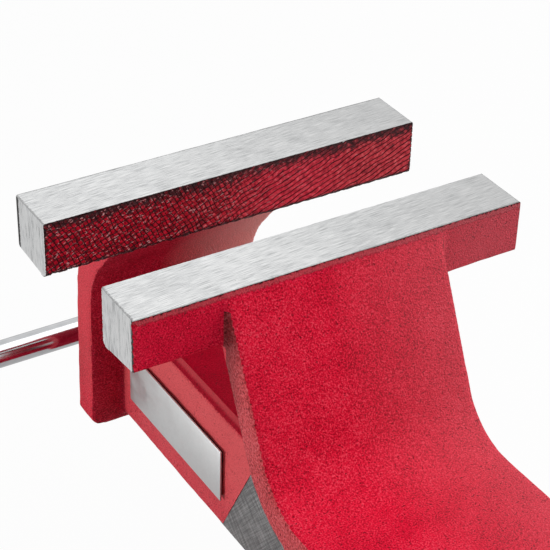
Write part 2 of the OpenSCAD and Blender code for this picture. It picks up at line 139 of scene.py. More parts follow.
def from_points(name, points, faces):
    """A closed mesh from points in millimetres, with its faces turned outwards."""
    mesh = bpy.data.meshes.new(name)
    mesh.from_pydata([tuple(c * MM for c in p) for p in points], [], faces)
    with editing(mesh) as shape:
        bmesh.ops.recalc_face_normals(shape, faces=shape.faces)
    return link(name, mesh)


def between(name, first, last):
    """A closed mesh between two outlines that have as many points in space."""
    count = len(first)
    faces = [tuple(range(count)), tuple(range(count, 2 * count))]
    faces += [(i, (i + 1) % count, count + (i + 1) % count, count + i) for i in range(count)]
    return from_points(name, first + last, faces)


def prism(name, outline, axis, low, high):
    """An outline run along an axis. Its points are (y, z) for x, (x, z) for y and (x, y) for z."""
    place = {
        "x": lambda a, b, t: (t, a, b),
        "y": lambda a, b, t: (a, t, b),
        "z": lambda a, b, t: (a, b, t),
    }[axis]
    return between(name, *([place(a, b, t) for a, b in outline] for t in (low, high)))


def block(name, low, high):
    outline = [(low[0], low[1]), (high[0], low[1]), (high[0], high[1]), (low[0], high[1])]
    return prism(name, outline, "z", low[2], high[2])


def rounded(outline, radius, steps=4):
    """An outline with each corner replaced by an arc. radius is one number, or one for each corner."""
    radii = radius if isinstance(radius, (list, tuple)) else [radius] * len(outline)
    done = []
    for i, corner in enumerate(outline):
        if radii[i] <= 0:
            done.append(tuple(corner))
            continue
        here = Vector(corner)
        to_last = (Vector(outline[i - 1]) - here).normalized()
        to_next = (Vector(outline[(i + 1) % len(outline)]) - here).normalized()
        half = math.acos(max(-1.0, min(1.0, to_last.dot(to_next)))) / 2
        centre = here + (to_last + to_next).normalized() * radii[i] / math.sin(half)
        reach = radii[i] / math.tan(half)
        start = here + to_last * reach - centre
        end = here + to_next * reach - centre
        turn = start.angle_signed(end)
        for k in range(steps + 1):
            done.append(tuple(centre + start @ Matrix.Rotation(turn * k / steps, 2)))
    return done


def turned(name, profile, steps=64):
    """A profile of (radius, height) points turned about Z. It starts and ends on the axis or is a loop."""
    points = []
    rings = []
    for place, (radius, height) in enumerate(profile):
        if place and (radius, height) == profile[0]:
            rings.append(rings[0])
        elif radius < 1e-6:
            rings.append([len(points)] * steps)
            points.append((0, 0, height))
        else:
            rings.append(list(range(len(points), len(points) + steps)))
            for k in range(steps):
                angle = 2 * math.pi * k / steps
                points.append((radius * math.cos(angle), radius * math.sin(angle), height))
    faces = []
    for low, high in zip(rings, rings[1:]):
        for k in range(steps):
            n = (k + 1) % steps
            corners = list(dict.fromkeys([low[k], low[n], high[n], high[k]]))
            if len(corners) > 2:
                faces.append(tuple(corners))
    return from_points(name, points, faces)


AXIS_TURN = {
    "x": Matrix.Rotation(math.pi / 2, 4, "Y"),
    "y": Matrix.Rotation(-math.pi / 2, 4, "X"),
    "z": Matrix.Identity(4),
}


def aim(piece, axis, place):
    """Turns a piece made along Z to run along an axis, and moves its origin to a place in millimetres."""
    piece.data.transform(Matrix.Translation(Vector(place) * MM) @ AXIS_TURN[axis])
    return piece


def rod(name, radius, axis, place, low, high, steps=64):
    return aim(turned(name, [(0, low), (radius, low), (radius, high), (0, high)], steps), axis, place)


def spun(name, axis, place, corners, edge, steps=64):
    """Corners (radius, height) turned about an axis through a place, with rounded edges off the axis.

    A set of corners that doesn't start on the axis is a ring."""
    radii = [0 if radius < 1e-6 else edge for radius, _ in corners]
    profile = rounded(corners, radii, 3)
    if corners[0][0] > 1e-6:
        profile.append(profile[0])
    return aim(turned(name, profile, steps), axis, place)


# A thread's shape in one lead: the height share at which each corner lies, and whether it is on the crest
THREAD_CORNERS = [(0.0, False), (0.13, True), (0.5, True), (0.63, False)]


def threaded(name, radius, root, lead, low, high, steps=40):
    """A right-hand thread about Z from low to high, closed by flat ends."""
    turns = range(-1, math.ceil((high - low) / lead) + 1)
    points = []
    for k in range(steps):
        angle = 2 * math.pi * k / steps
        for turn in turns:
            for share, crest in THREAD_CORNERS:
                reach = radius if crest else root
                height = low + lead * (turn + share + k / steps)
                points.append((reach * math.cos(angle), reach * math.sin(angle), height))
    corners = len(THREAD_CORNERS)
    column = len(turns) * corners
    faces = []
    for k in range(steps):
        here = k * column
        there, climb = (here + column, 0) if k < steps - 1 else (0, corners)
        for j in range(column - 1 - climb):
            faces.append((here + j, there + climb + j, there + climb + j + 1, here + j + 1))
    piece = from_points(name, points, faces)
    with editing(piece.data) as shape:
        trim(shape, (0, 0, low * MM), (0, 0, -1))
        trim(shape, (0, 0, high * MM), (0, 0, 1))
        close(shape)
    return piece


def settle(piece):
    """Applies a piece's modifiers to its mesh."""
    graph = bpy.context.evaluated_depsgraph_get()
    mesh = bpy.data.meshes.new_from_object(piece.evaluated_get(graph))
    old = piece.data
    piece.modifiers.clear()
    piece.data = mesh
    bpy.data.meshes.remove(old)
    return piece


def combine(piece, other, operation):
    """Cuts, joins or intersects a piece with another, which is used up."""
    step = piece.modifiers.new(operation, "BOOLEAN")
    step.operation = operation
    step.solver = "MANIFOLD"
    step.object = other
    settle(piece)
    bpy.data.objects.remove(other)
    return piece


def cut(piece, *tools):
    """Cuts other pieces out of a piece. They reach well past it, so their far ends are round numbers."""
    for tool in tools:
        combine(piece, tool, "DIFFERENCE")
    return piece


def join(piece, *others):
    for other in others:
        combine(piece, other, "UNION")
    return piece


def copy_of(node, name):
    """The shape of a CAD node as a new piece, with its corners welded."""
    mesh = frame["nodes"][node].data.copy()
    mesh.name = name
    mesh.materials.clear()
    with editing(mesh) as shape:
        bmesh.ops.remove_doubles(shape, verts=shape.verts, dist=0.001 * MM)
    return link(name, mesh)


def bevelled_copy(node, name, width):
    """A CAD node as a new piece with every sharp edge rounded off."""
    piece = copy_of(node, name)
    with editing(piece.data) as shape:
        bmesh.ops.dissolve_limit(
            shape, angle_limit=math.radians(0.5), verts=shape.verts, edges=shape.edges)
        sharp = [edge for edge in shape.edges
                 if edge.is_manifold and edge.calc_face_angle() > math.radians(40)]
        bmesh.ops.bevel(shape, geom=sharp, offset=width * MM, segments=2, profile=0.5, affect="EDGES")
    return piece


# Sand casting: a skin over the joined shapes, softened, and a little uneven as the mould was

def remesh(piece, voxel):
    step = piece.modifiers.new("skin", "REMESH")
    step.mode = "VOXEL"
    step.voxel_size = voxel * MM
    return settle(piece)


def thin_out(piece, share):
    """Keeps a share of the skin's faces, fewest where it is flat."""
    step = piece.modifiers.new("thin", "DECIMATE")
    step.ratio = share
    return settle(piece)


def read_array(items, key, width, kind):
    found = np.empty(len(items) * width, kind)
    items.foreach_get(key, found)
    return found.reshape(-1, width)


def soften(piece, rounds, outer, deep=None):
    """Fills inner corners and wears outer edges by the share outer. deep(z in mm) scales the filling."""
    mesh = piece.data
    count = len(mesh.vertices)
    start, end = read_array(mesh.edges, "vertices", 2, np.int32).T
    places = read_array(mesh.vertices, "co", 3, np.float64)
    degree = np.bincount(start, minlength=count) + np.bincount(end, minlength=count)
    for _ in range(rounds):
        near = np.stack([
            np.bincount(start, places[end, k], count) + np.bincount(end, places[start, k], count)
            for k in range(3)], axis=1)
        move = near / degree[:, None] - places
        normals = read_array(mesh.vertex_normals, "vector", 3, np.float64)
        inner = (move * normals).sum(axis=1) > 0
        fill = deep(places[:, 2] / MM) if deep else 1.0
        places += move * 0.5 * np.where(inner, fill, outer)[:, None]
        mesh.vertices.foreach_set("co", places.ravel())
        mesh.update()
    return piece


def wave(spot, size, shift=(0, 0, 0)):
    """Smooth noise at a spot, from about -1 to 1. The same spot always gives the same value."""
    return noise.noise(spot / size + Vector(shift))


def roughen(piece, layers, seed):
    """Pushes the skin in and out by smooth noise. layers holds (size, height) pairs in millimetres."""
    shift = (seed * 3.7, seed * 1.9, seed * 5.3)
    with editing(piece.data) as shape:
        for point in shape.verts:
            push = sum(wave(point.co / MM, size, shift) * height for size, height in layers)
            point.co += point.normal * push * MM
    return piece


def join_loose(piece, others):
    """Puts other pieces' meshes beside a piece's own."""
    shape = bmesh.new()
    for part in [piece, *others]:
        shape.from_mesh(part.data)
    shape.to_mesh(piece.data)
    shape.free()
    for part in others:
        bpy.data.objects.remove(part)
    return piece


# The waves of a sand mould: their sizes and heights
CAST_WAVES = [(16, 0.16), (4, 0.10)]
OUTER_WEAR = 0.22
FACES_KEPT = 0.4


def sand_cast(piece, voxel, rounds, seed, deep=None):
    """Turns sharp solids into a casting with filled inner corners, worn outer edges and waves."""
    remesh(piece, voxel)
    soften(piece, rounds, OUTER_WEAR, deep)
    roughen(piece, CAST_WAVES, seed)
    return thin_out(piece, FACES_KEPT)


# Materials

def linear(hex_colour):
    """An sRGB hex colour as linear RGBA."""
    parts = [int(hex_colour[i:i + 2], 16) / 255 for i in (0, 2, 4)]
    return (*[c / 12.92 if c <= 0.04045 else ((c + 0.055) / 1.055) ** 2.4 for c in parts], 1)


def add(tree, kind, inputs=None, **settings):
    """Adds a node with its settings, and sets or links its inputs.

    A node given as an input is linked from its first output."""
    made = tree.nodes.new(kind)
    for key, value in settings.items():
        setattr(made, key, value)
    for key, value in (inputs or {}).items():
        if isinstance(value, bpy.types.Node):
            value = next(socket for socket in value.outputs if socket.enabled)
        if isinstance(value, bpy.types.NodeSocket):
            tree.links.new(value, made.inputs[key])
        else:
            made.inputs[key].default_value = value
    return made


def start_material(name):
    """A new material's node tree, emptied, and its object coordinates."""
    material = bpy.data.materials.new(name)
    material.use_nodes = True
    tree = material.node_tree
    tree.nodes.clear()
    return material, tree, add(tree, "ShaderNodeTexCoord").outputs["Object"]


def per_mm(size):
    """A texture scale that gives a pattern of that size in millimetres."""
    return 1 / (size * MM)


def colours(made, stops):
    """Sets a colour ramp's stops from (place, hex colour) pairs."""
    ramp = made.color_ramp
    while len(ramp.elements) > 1:
        ramp.elements.remove(ramp.elements[-1])
    for i, (place, colour) in enumerate(stops):
        stop = ramp.elements[0] if i == 0 else ramp.elements.new(place)
        stop.position = place
        stop.color = linear(colour)


def grey(share):
    """The hex colour whose linear value is a share of white."""
    curved = share * 12.92 if share <= 0.0031308 else 1.055 * share ** (1 / 2.4) - 0.055
    return f"{round(curved * 255):02X}" * 3


def finish_material(material, tree, look):
    """Gives a material its surface. look holds the inputs of its shader."""
    shader = add(tree, "ShaderNodeBsdfPrincipled", look)
    add(tree, "ShaderNodeOutputMaterial", {"Surface": shader})
    return material


def drawn_noise(tree, place, turn_axis, angle, sizes, detail, roughness):
    """Noise turned by an angle about an axis, with its own size in millimetres along X, Y and Z."""
    turned_place = add(tree, "ShaderNodeVectorRotate", {
        "Vector": place, "Angle": math.radians(angle)}, rotation_type=turn_axis)
    scaled = add(tree, "ShaderNodeVectorMath", {
        0: turned_place, 1: [per_mm(size) for size in sizes]}, operation="MULTIPLY")
    return add(tree, "ShaderNodeTexNoise", {
        "Vector": scaled, "Scale": 1.0, "Detail": detail, "Roughness": roughness})


# The two jaws mirror each other about the plane halfway between their faces, so one distance from
# that plane, along Y, tells the face and the back of both.
JAW_MIDDLE = (MOVING_FACE + FIXED_FACE) / 2
FACE_AWAY = (FIXED_FACE - MOVING_FACE) / 2
BACK_AWAY = FACE_AWAY + JAW_DEPTH


def jaw_edge_distance(tree, place, edges):
    """The distance in metres from the nearest of the named edges of a jaw: ends, top, face or back."""
    parts = add(tree, "ShaderNodeSeparateXYZ", {"Vector": place})
    across = add(tree, "ShaderNodeMath", {0: parts.outputs["X"]}, operation="ABSOLUTE")
    along = add(tree, "ShaderNodeMath", {0: parts.outputs["Y"], 1: JAW_MIDDLE * MM}, operation="SUBTRACT")
    away = add(tree, "ShaderNodeMath", {0: along}, operation="ABSOLUTE")
    rule = {
        "ends": (JAW_HALF * MM, across),
        "top": (JAW_TOP * MM, parts.outputs["Z"]),
        "face": (away, FACE_AWAY * MM),
        "back": (BACK_AWAY * MM, away),
    }
    nearest = None
    for name in edges:
        high, low = rule[name]
        gap = add(tree, "ShaderNodeMath", {0: high, 1: low}, operation="SUBTRACT")
        if nearest:
            gap = add(tree, "ShaderNodeMath", {0: nearest, 1: gap}, operation="MINIMUM")
        nearest = gap
    return nearest


def ragged_edge(tree, place, edges, pattern, width):
    """The same distance, made uneven by a pattern over a width in millimetres."""
    distance = jaw_edge_distance(tree, place, edges)
    uneven = add(tree, "ShaderNodeMath", {
        0: pattern, 1: width * MM, 2: -width / 2 * MM}, operation="MULTIPLY_ADD")
    return add(tree, "ShaderNodeMath", {0: distance, 1: uneven}, operation="ADD")


# Sand-cast iron under red enamel. The sand's grains show through, coarse where the mould was left rough,
# with small dark pits between them. Along a ground edge the paint is worn to a dull brown up to a dark
# crease, and dust with a painted sheen lies on it towards the left end of the jaws. Sizes are in millimetres.
PIT_SPACING = 0.7
MOTTLE = 14
# The crease lies this far from the ground edge
WORN_BAND = 1.9
# Dust and a painted sheen begin this far right of the middle, and are full this far left of it
DUST_AND_SHEEN_FROM = 6
DUST_AND_SHEEN_TO = 50
# Painted shade reaches this far from the corner behind a jaw
CORNER_SHADE_REACH = 10
# A pale painted sheen lies on the sides above the upper of these heights, and hardly any below the lower one
SIDE_SHEEN_FROM = 66
SIDE_SHEEN_TO = 90


def red_enamel(
        name, grain_size, relief, dark, deep, middle, light,
        dust_and_sheen_colour="C06A70", dust_and_sheen_share=0.5, dust_and_sheen_to=DUST_AND_SHEEN_TO, side_sheen_share=0.28, corner_shade_share=0.0):
    """Grain size and relief are in millimetres, and the four colours run from pits to crests.

    The shares are how much dust with painted sheen, painted sheen on the sides and painted shade in the corner
    behind the jaw show."""
    material, tree, place = start_material(name)
    grain, pits, mottle = [
        add(tree, "ShaderNodeTexNoise", {
            "Vector": place, "Scale": per_mm(size), "Detail": detail, "Roughness": 0.6})
        for size, detail in ((grain_size, 2.0), (PIT_SPACING, 2.0), (MOTTLE, 3.0))]
    toned = add(tree, "ShaderNodeMath", {0: mottle, 1: 0.3, 2: grain}, operation="MULTIPLY_ADD")
    colour = add(tree, "ShaderNodeValToRGB", {"Fac": toned})
    colours(colour, [(0.45, dark), (0.56, deep), (0.68, middle), (0.84, light)])
    pit = add(tree, "ShaderNodeMapRange", {
        "Value": pits, "From Min": 0.3, "From Max": 0.35, "To Min": 0.75, "To Max": 0.0})
    parts = add(tree, "ShaderNodeSeparateXYZ", {"Vector": place})
    # Dust and a painted sheen, stronger towards the left end of the jaws
    dust_and_sheen = add(tree, "ShaderNodeMapRange", {
        "Value": parts.outputs["X"], "From Min": -dust_and_sheen_to * MM, "From Max": DUST_AND_SHEEN_FROM * MM,
        "To Min": dust_and_sheen_share, "To Max": 0.0})
    normal = add(tree, "ShaderNodeTexCoord").outputs["Normal"]
    facing = add(tree, "ShaderNodeSeparateXYZ", {"Vector": normal})
    sideways = add(tree, "ShaderNodeMath", {0: facing.outputs["X"]}, operation="ABSOLUTE")
    # A painted sheen on faces that look sideways, stronger higher up
    reached = add(tree, "ShaderNodeMapRange", {
        "Value": parts.outputs["Z"], "From Min": SIDE_SHEEN_FROM * MM, "From Max": SIDE_SHEEN_TO * MM,
        "To Min": 0.1 * side_sheen_share, "To Max": side_sheen_share})
    side_sheen = add(tree, "ShaderNodeMapRange", {
        "Value": sideways, "From Min": 0.75, "From Max": 0.98, "To Max": reached})
    # Painted shade in the corner behind a jaw
    corner = add(tree, "ShaderNodeMapRange", {
        "Value": jaw_edge_distance(tree, place, ["back"]),
        "From Min": -CORNER_SHADE_REACH * MM, "From Max": -1.0 * MM, "To Max": corner_shade_share})
    for share, over in ((pit, "5A0C18"), (dust_and_sheen, dust_and_sheen_colour), (side_sheen, "FC7072"), (corner, "4A161A")):
        colour = add(tree, "ShaderNodeMix", {
            "Factor": share, "A": colour, "B": linear(over)}, data_type="RGBA")
    band = add(tree, "ShaderNodeMapRange", {
        "Value": ragged_edge(tree, place, ["top"], pits, 2.2), "From Max": 10 * MM})
    dull, crease, end = 0.085 * WORN_BAND, 0.1 * WORN_BAND, 0.12 * WORN_BAND
    wear = add(tree, "ShaderNodeValToRGB", {"Fac": band})
    stops = [(0.02, 0.7), (0.05, 0.5), (dull, 0.45), (crease, 0.5), (end, 0.0)]
    colours(wear, [(0, "FFFFFF")] + [(at, grey(share)) for at, share in stops])
    tone = add(tree, "ShaderNodeValToRGB", {"Fac": band})
    colours(tone, [(0.02, "2A1C1E"), (0.045, "A85A5E"), (dull, "B4686C"), (crease, "6E2C32")])
    skin = add(tree, "ShaderNodeMix", {"Factor": wear, "A": colour, "B": tone}, data_type="RGBA")
    gloss = add(tree, "ShaderNodeMapRange", {
        "Value": grain, "From Min": 0.3, "From Max": 0.7, "To Min": 0.66, "To Max": 0.48})
    height = add(tree, "ShaderNodeMath", {0: grain, 1: pit}, operation="SUBTRACT")
    bump = add(tree, "ShaderNodeBump", {"Height": height, "Strength": 1.0, "Distance": relief * MM})
    return finish_material(material, tree, {
        "Base Color": skin, "Roughness": gloss, "Normal": bump, "IOR": 1.5, "Specular IOR Level": 0.13})


# Cast iron ground bright on a belt. Short fine scratches run nearly one way, with a few pits of the
# casting left, and the ground edges carry a dark broken line of burr and paint, which along the ends' back edge is
# partly a painted shadow line.
SCRATCH_WIDTH = 0.2
SCRATCH_LENGTH = 6
CASTING_PITS = 0.8
# Handling has dulled the iron, and a painted shade darkens it, from here to the left end
DULLED_AND_SHADED_FROM = 30


def ground_iron(name, line_axis, turn_axis, tilt, edges, rim, darkest, lightest):
    """line_axis is the direction of the scratches, X or Z, and tilt turns them a little on the face.

    rim is the width in millimetres and the share of the dark line along the named edges."""
    material, tree, place = start_material(name)
    sizes = [SCRATCH_LENGTH if axis == line_axis else SCRATCH_WIDTH for axis in "XYZ"]
    scratches = drawn_noise(tree, place, turn_axis, tilt, sizes, 2.0, 0.7)
    cloud = add(tree, "ShaderNodeTexNoise", {
        "Vector": place, "Scale": per_mm(9), "Detail": 3.0, "Roughness": 0.6})
    pits = add(tree, "ShaderNodeTexNoise", {
        "Vector": place, "Scale": per_mm(CASTING_PITS), "Detail": 2.0, "Roughness": 0.5})
    mixed = add(tree, "ShaderNodeMath", {0: cloud, 1: 0.18, 2: scratches}, operation="MULTIPLY_ADD")
    colour = add(tree, "ShaderNodeValToRGB", {"Fac": mixed})
    colours(colour, [(0.40, darkest), (0.52, "C4C5C6"), (0.60, "D8D9D9"), (0.74, lightest)])
    parts = add(tree, "ShaderNodeSeparateXYZ", {"Vector": place})
    # Tarnish and painted shade, towards the left end
    tarnish_and_shade = add(tree, "ShaderNodeMapRange", {
        "Value": parts.outputs["X"], "From Min": -JAW_HALF * MM, "From Max": DULLED_AND_SHADED_FROM * MM,
        "To Min": 0.5, "To Max": 0.0})
    pit = add(tree, "ShaderNodeMapRange", {
        "Value": pits, "From Min": 0.225, "From Max": 0.26, "To Min": 0.8, "To Max": 0.0})
    width, rim_share = rim
    line = add(tree, "ShaderNodeMapRange", {
        "Value": ragged_edge(tree, place, edges, pits, 1.0),
        "From Min": width * MM, "From Max": (width + 0.3) * MM, "To Min": rim_share, "To Max": 0.0})
    for share, over in ((tarnish_and_shade, "9C9C9C"), (pit, "3C3A38"), (line, "141010")):
        colour = add(tree, "ShaderNodeMix", {
            "Factor": share, "A": colour, "B": linear(over)}, data_type="RGBA")
    gloss = add(tree, "ShaderNodeMapRange", {
        "Value": scratches, "From Min": 0.3, "From Max": 0.7, "To Min": 0.5, "To Max": 0.36})
    bump = add(tree, "ShaderNodeBump", {"Height": scratches, "Strength": 0.6, "Distance": 0.02 * MM})
    return finish_material(material, tree, {
        "Base Color": colour, "Roughness": gloss, "Metallic": 1.0, "Normal": bump})


# Serrations cut like a file's and then painted. The grooves are darkened as painted shade, short flecks of painted
# glint lie along them, and the band under the ground top is torn and brown. The paint is a paler, duller red
# towards the left end as a painted sheen, darker towards the right as a painted shade, and brightest just left of
# the middle. Sizes are in millimetres.
GROOVE_DEPTH = 0.3
TORN_BAND = 4.2
PAINT_PATCH = 1.4
# The flecks' angle to the jaw's length, and their size
FLECK_ANGLE = -21
FLECK_SIZE = (1.6, 0.6, 0.6)
# The paint turns from the pale red of the painted sheen to the dark red of the painted shade between these places
# across the jaw
PALE_TO = -30
DARK_FROM = 25


def painted_serrations():
    material, tree, place = start_material("painted_serrations")
    parts = add(tree, "ShaderNodeSeparateXYZ", {"Vector": place})
    patch = add(tree, "ShaderNodeTexNoise", {
        "Vector": place, "Scale": per_mm(PAINT_PATCH), "Detail": 3.0, "Roughness": 0.65})
    fleck = drawn_noise(tree, place, "Y_AXIS", FLECK_ANGLE, FLECK_SIZE, 2.0, 0.6)
    clean, dark, bright = [add(tree, "ShaderNodeValToRGB", {"Fac": patch}) for _ in range(3)]
    colours(clean, [(0.32, "8A1C2A"), (0.44, "BC2C3A"), (0.58, "D64650"), (0.72, "E6787C")])
    colours(dark, [(0.34, "5A0614"), (0.46, "A80622"), (0.56, "CC082A"), (0.70, "D02C42")])
    colours(bright, [(0.32, "AC1230"), (0.46, "DC2442"), (0.6, "F04058"), (0.72, "F46A78")])
    # Painted sheen towards the left end, painted shade towards the right
    side = add(tree, "ShaderNodeMapRange", {
        "Value": parts.outputs["X"], "From Min": PALE_TO * MM, "From Max": DARK_FROM * MM})
    # A brighter band just left of the middle
    spread = add(tree, "ShaderNodeMapRange", {
        "Value": parts.outputs["X"], "From Min": -JAW_HALF * MM, "From Max": JAW_HALF * MM})
    brighter_band = add(tree, "ShaderNodeValToRGB", {"Fac": spread})
    colours(brighter_band, [(0.14, grey(0)), (0.3, grey(0.6)), (0.42, grey(0.5)), (0.56, grey(0))])
    # Painted shade in the grooves, darker with depth
    depth = add(tree, "ShaderNodeMapRange", {
        "Value": jaw_edge_distance(tree, place, ["face"]), "From Min": 0.04 * MM, "From Max": 0.17 * MM})
    torn_edge = add(tree, "ShaderNodeMath", {
        0: patch, 1: 14 * MM, 2: jaw_edge_distance(tree, place, ["top"])}, operation="MULTIPLY_ADD")
    torn = add(tree, "ShaderNodeMapRange", {
        "Value": torn_edge, "From Min": (TORN_BAND + 4) * MM, "From Max": (TORN_BAND + 7) * MM,
        "To Min": 0.85, "To Max": 0.0})
    # Painted glints along the groove rims, only where the paint is dark
    glint = add(tree, "ShaderNodeMapRange", {
        "Value": fleck, "From Min": 0.6, "From Max": 0.65, "To Max": 0.9})
    painted_glints = add(tree, "ShaderNodeMath", {0: glint, 1: side}, operation="MULTIPLY")
    rim = add(tree, "ShaderNodeMapRange", {
        "Value": ragged_edge(tree, place, ["ends", "top"], patch, 3.0),
        "From Min": 0.35 * MM, "From Max": 0.7 * MM, "To Min": 0.85, "To Max": 0.0})
    colour = clean
    for share, over in (
        (side, dark), (brighter_band, bright), (depth, linear("3C0510")), (torn, linear("3E2024")),
        (painted_glints, linear("DC9EA0")), (rim, linear("241618")),
    ):
        colour = add(tree, "ShaderNodeMix", {"Factor": share, "A": colour, "B": over}, data_type="RGBA")
    bump = add(tree, "ShaderNodeBump", {"Height": fleck, "Strength": 1.0, "Distance": 0.3 * MM})
    return finish_material(material, tree, {
        "Base Color": colour, "Roughness": 0.5, "Normal": bump, "IOR": 1.5, "Specular IOR Level": 0.2})


# Milled grey iron, bare and lightly oiled, rubbed with emery so that fine lines cross on its sides
HATCH_SIZE = (0.3, 9, 0.3)
HATCH_ANGLES = (38, -50)
STRONG_HATCH = 1.2
WEAK_HATCH = 0.8
CLOUD_SHARE = 0.4


def milled_iron():
    material, tree, place = start_material("milled_grey_iron")
    strong, weak = [
        drawn_noise(tree, place, "X_AXIS", angle, HATCH_SIZE, 1.0, 0.5) for angle in HATCH_ANGLES]
    cloud = add(tree, "ShaderNodeTexNoise", {
        "Vector": place, "Scale": per_mm(9), "Detail": 4.0, "Roughness": 0.6})
    weakened = add(tree, "ShaderNodeMath", {0: weak, 1: WEAK_HATCH}, operation="MULTIPLY")
    lines = add(tree, "ShaderNodeMath", {
        0: strong, 1: STRONG_HATCH, 2: weakened}, operation="MULTIPLY_ADD")
    mixed = add(tree, "ShaderNodeMath", {0: cloud, 1: CLOUD_SHARE, 2: lines}, operation="MULTIPLY_ADD")
    shade = add(tree, "ShaderNodeMath", {
        0: mixed, 1: STRONG_HATCH + WEAK_HATCH + CLOUD_SHARE}, operation="DIVIDE")
    colour = add(tree, "ShaderNodeValToRGB", {"Fac": shade})
    colours(colour, [(0.40, "585859"), (0.5, "7A7979"), (0.60, "9C9B9B")])
    bump = add(tree, "ShaderNodeBump", {"Height": lines, "Strength": 0.5, "Distance": 0.02 * MM})
    return finish_material(material, tree, {
        "Base Color": colour, "Metallic": 1.0, "Roughness": 0.42, "Normal": bump})


# Metals of the small parts: a fine grain of the finish, a slow cloud of handling, and its own gloss
def small_metal(name, dark, light, roughness, grain, bump_height):
    """Grain and bump height are in millimetres, and both colours are its reflection."""
    material, tree, place = start_material(name)
    fine, cloud = [
        add(tree, "ShaderNodeTexNoise", {
            "Vector": place, "Scale": per_mm(size), "Detail": 3.0, "Roughness": uneven})
        for size, uneven in ((grain, 0.6), (7, 0.55))]
    colour = add(tree, "ShaderNodeValToRGB", {"Fac": cloud})
    colours(colour, [(0.35, dark), (0.65, light)])
    gloss = add(tree, "ShaderNodeMapRange", {
        "Value": cloud, "From Min": 0.3, "From Max": 0.7,
        "To Min": roughness * 1.25, "To Max": roughness * 0.8})
    bump = add(tree, "ShaderNodeBump", {"Height": fine, "Strength": 0.4, "Distance": bump_height * MM})
    return finish_material(material, tree, {
        "Base Color": colour, "Metallic": 1.0, "Roughness": gloss, "Normal": bump})


# Closed-cell foam tape: matt black with small cells
def foam_tape():
    material, tree, place = start_material("black_foam_tape")
    cells = add(tree, "ShaderNodeTexVoronoi", {"Vector": place, "Scale": per_mm(0.35)})
    colour = add(tree, "ShaderNodeValToRGB", {"Fac": cells})
    colours(colour, [(0.0, "0C0C0D"), (0.6, "1E1E20")])
    bump = add(tree, "ShaderNodeBump", {"Height": cells, "Strength": 0.5, "Distance": 0.05 * MM})
    return finish_material(material, tree, {
        "Base Color": colour, "Roughness": 0.9, "Normal": bump, "IOR": 1.45})


# These enamels carry dust with a painted sheen towards the left end of the jaws, and a painted sheen on faces that
# look sideways
fine_enamel = red_enamel("red_enamel_on_fine_casting", 0.5, 0.42, "8C0618", "D20A32", "E40F3C", "F63E58")
coarse_enamel = red_enamel("red_enamel_on_coarse_casting", 0.5, 0.5, "96081E", "CC0A2E", "E61038", "F2445A")
# The slide's top, shoulder and channel take darker colours, a painted shade under the jaws
slide_top_enamel_with_painted_shade = red_enamel(
    "red_enamel_darkened_as_painted_shade_on_the_slide_top", 0.5, 0.15, "8A0418", "A00624", "B2082A", "C00E2E", dust_and_sheen_share=0.2)
# The slide's outer sides take paler colours and a strong painted sheen
slide_side_enamel_with_painted_sheen = red_enamel(
    "red_enamel_lightened_as_painted_sheen_on_the_slide_sides", 0.5, 0.4, "A01828", "D42C42", "E4404F", "F05C68", side_sheen_share=0.6)
# The coarse sides behind the fixed jaw take painted shade in their corner under the jaw
coarse_side_enamel_with_painted_shade = red_enamel(
    "red_enamel_with_painted_corner_shade_on_coarse_sides", 0.7, 1.0, "3E0C10", "A2262E", "DA4650", "F47880",
    dust_and_sheen_share=0.15, corner_shade_share=0.6)
# The neck under the far jaw takes a pale pink painted sheen with some dust, full towards its left end
neck_enamel_with_painted_sheen = red_enamel(
    "red_enamel_with_dust_and_painted_sheen_on_the_neck", 0.5, 0.6, "7A081A", "AC0A2A", "C81236", "E04058",
    dust_and_sheen_colour="F6B8B0", dust_and_sheen_share=0.95, dust_and_sheen_to=34)
ground_top = ground_iron(
    "ground_iron_jaw_tops", "X", "Z_AXIS", -4, ["ends", "back"], (0.25, 0.45), "9E9FA0", "ECECEC")
# The ends take darker colours than the tops, partly a painted shade, and a wide dark line along their back edge
# that is partly a painted shadow
ground_end = ground_iron(
    "ground_iron_jaw_ends", "Z", "X_AXIS", -3, ["back"], (1.2, 1.0), "5E5F60", "D6D6D6")
milled = milled_iron()
teeth_paint = painted_serrations()
chrome = small_metal("polished_chrome", "BBBCBE", "C8C9CB", 0.13, 0.4, 0.001)
zinc = small_metal("bright_zinc_plate", "B4B7BB", "CDD0D4", 0.28, 0.3, 0.01)
turned_steel = small_metal("turned_steel", "A2A3A5", "BDBEC0", 0.3, 0.25, 0.01)
black_iron = small_metal("oiled_black_iron", "2A2B2D", "4A4B4E", 0.42, 0.6, 0.04)
plate_metal = small_metal("satin_aluminium_plate", "C2C3C3", "CCCCCC", 0.5, 0.2, 0.006)
tape = foam_tape()


# Finishing a piece

def dress(piece, materials, pick=None):
    """Gives a piece its materials. pick(centre in mm, normal) returns one of them for each face."""
    piece.data.materials.clear()
    for material in materials:
        piece.data.materials.append(material)
    for face in piece.data.polygons:
        chosen = pick(face.center / MM, face.normal) if pick else materials[0]
        face.material_index = materials.index(chosen)
        face.use_smooth = True
    piece.data.set_sharp_from_angle(angle=math.radians(32))
    return piece


def place_on(piece, body, slot, *nodes):
    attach(piece, body)
    if nodes:
        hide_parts(*nodes)
    return piece


# Serrations: two families of V grooves over the whole face. Angles are in degrees, sizes in millimetres.
MAIN_PITCH = 1.6
MAIN_ANGLE = 159
CROSS_PITCH = 1.35
CROSS_ANGLE = 62
# Half a groove's width as a share of its pitch
GROOVE_SHARE = 0.16
# How far the grooves stray from straight lines
WANDER = 0.7
# The second family fades in from this place across the jaw, and is full this far to its right
CROSS_FROM = -12
CROSS_FADE = 26
# The crests stay this far behind the face's plane, so that the closed jaws do not run into each other
CREST_GAP = 0.03
# The serrated slab is a little thicker than the seat that is cut for it
SLAB_BACK = 3.4
SEAT_DEPTH = 3.0


def across_grooves(angle, pitch):
    """A vector in the face whose product with a place counts the grooves up to it."""
    turn = math.radians(angle)
    return Vector((-math.sin(turn), math.cos(turn))) / pitch


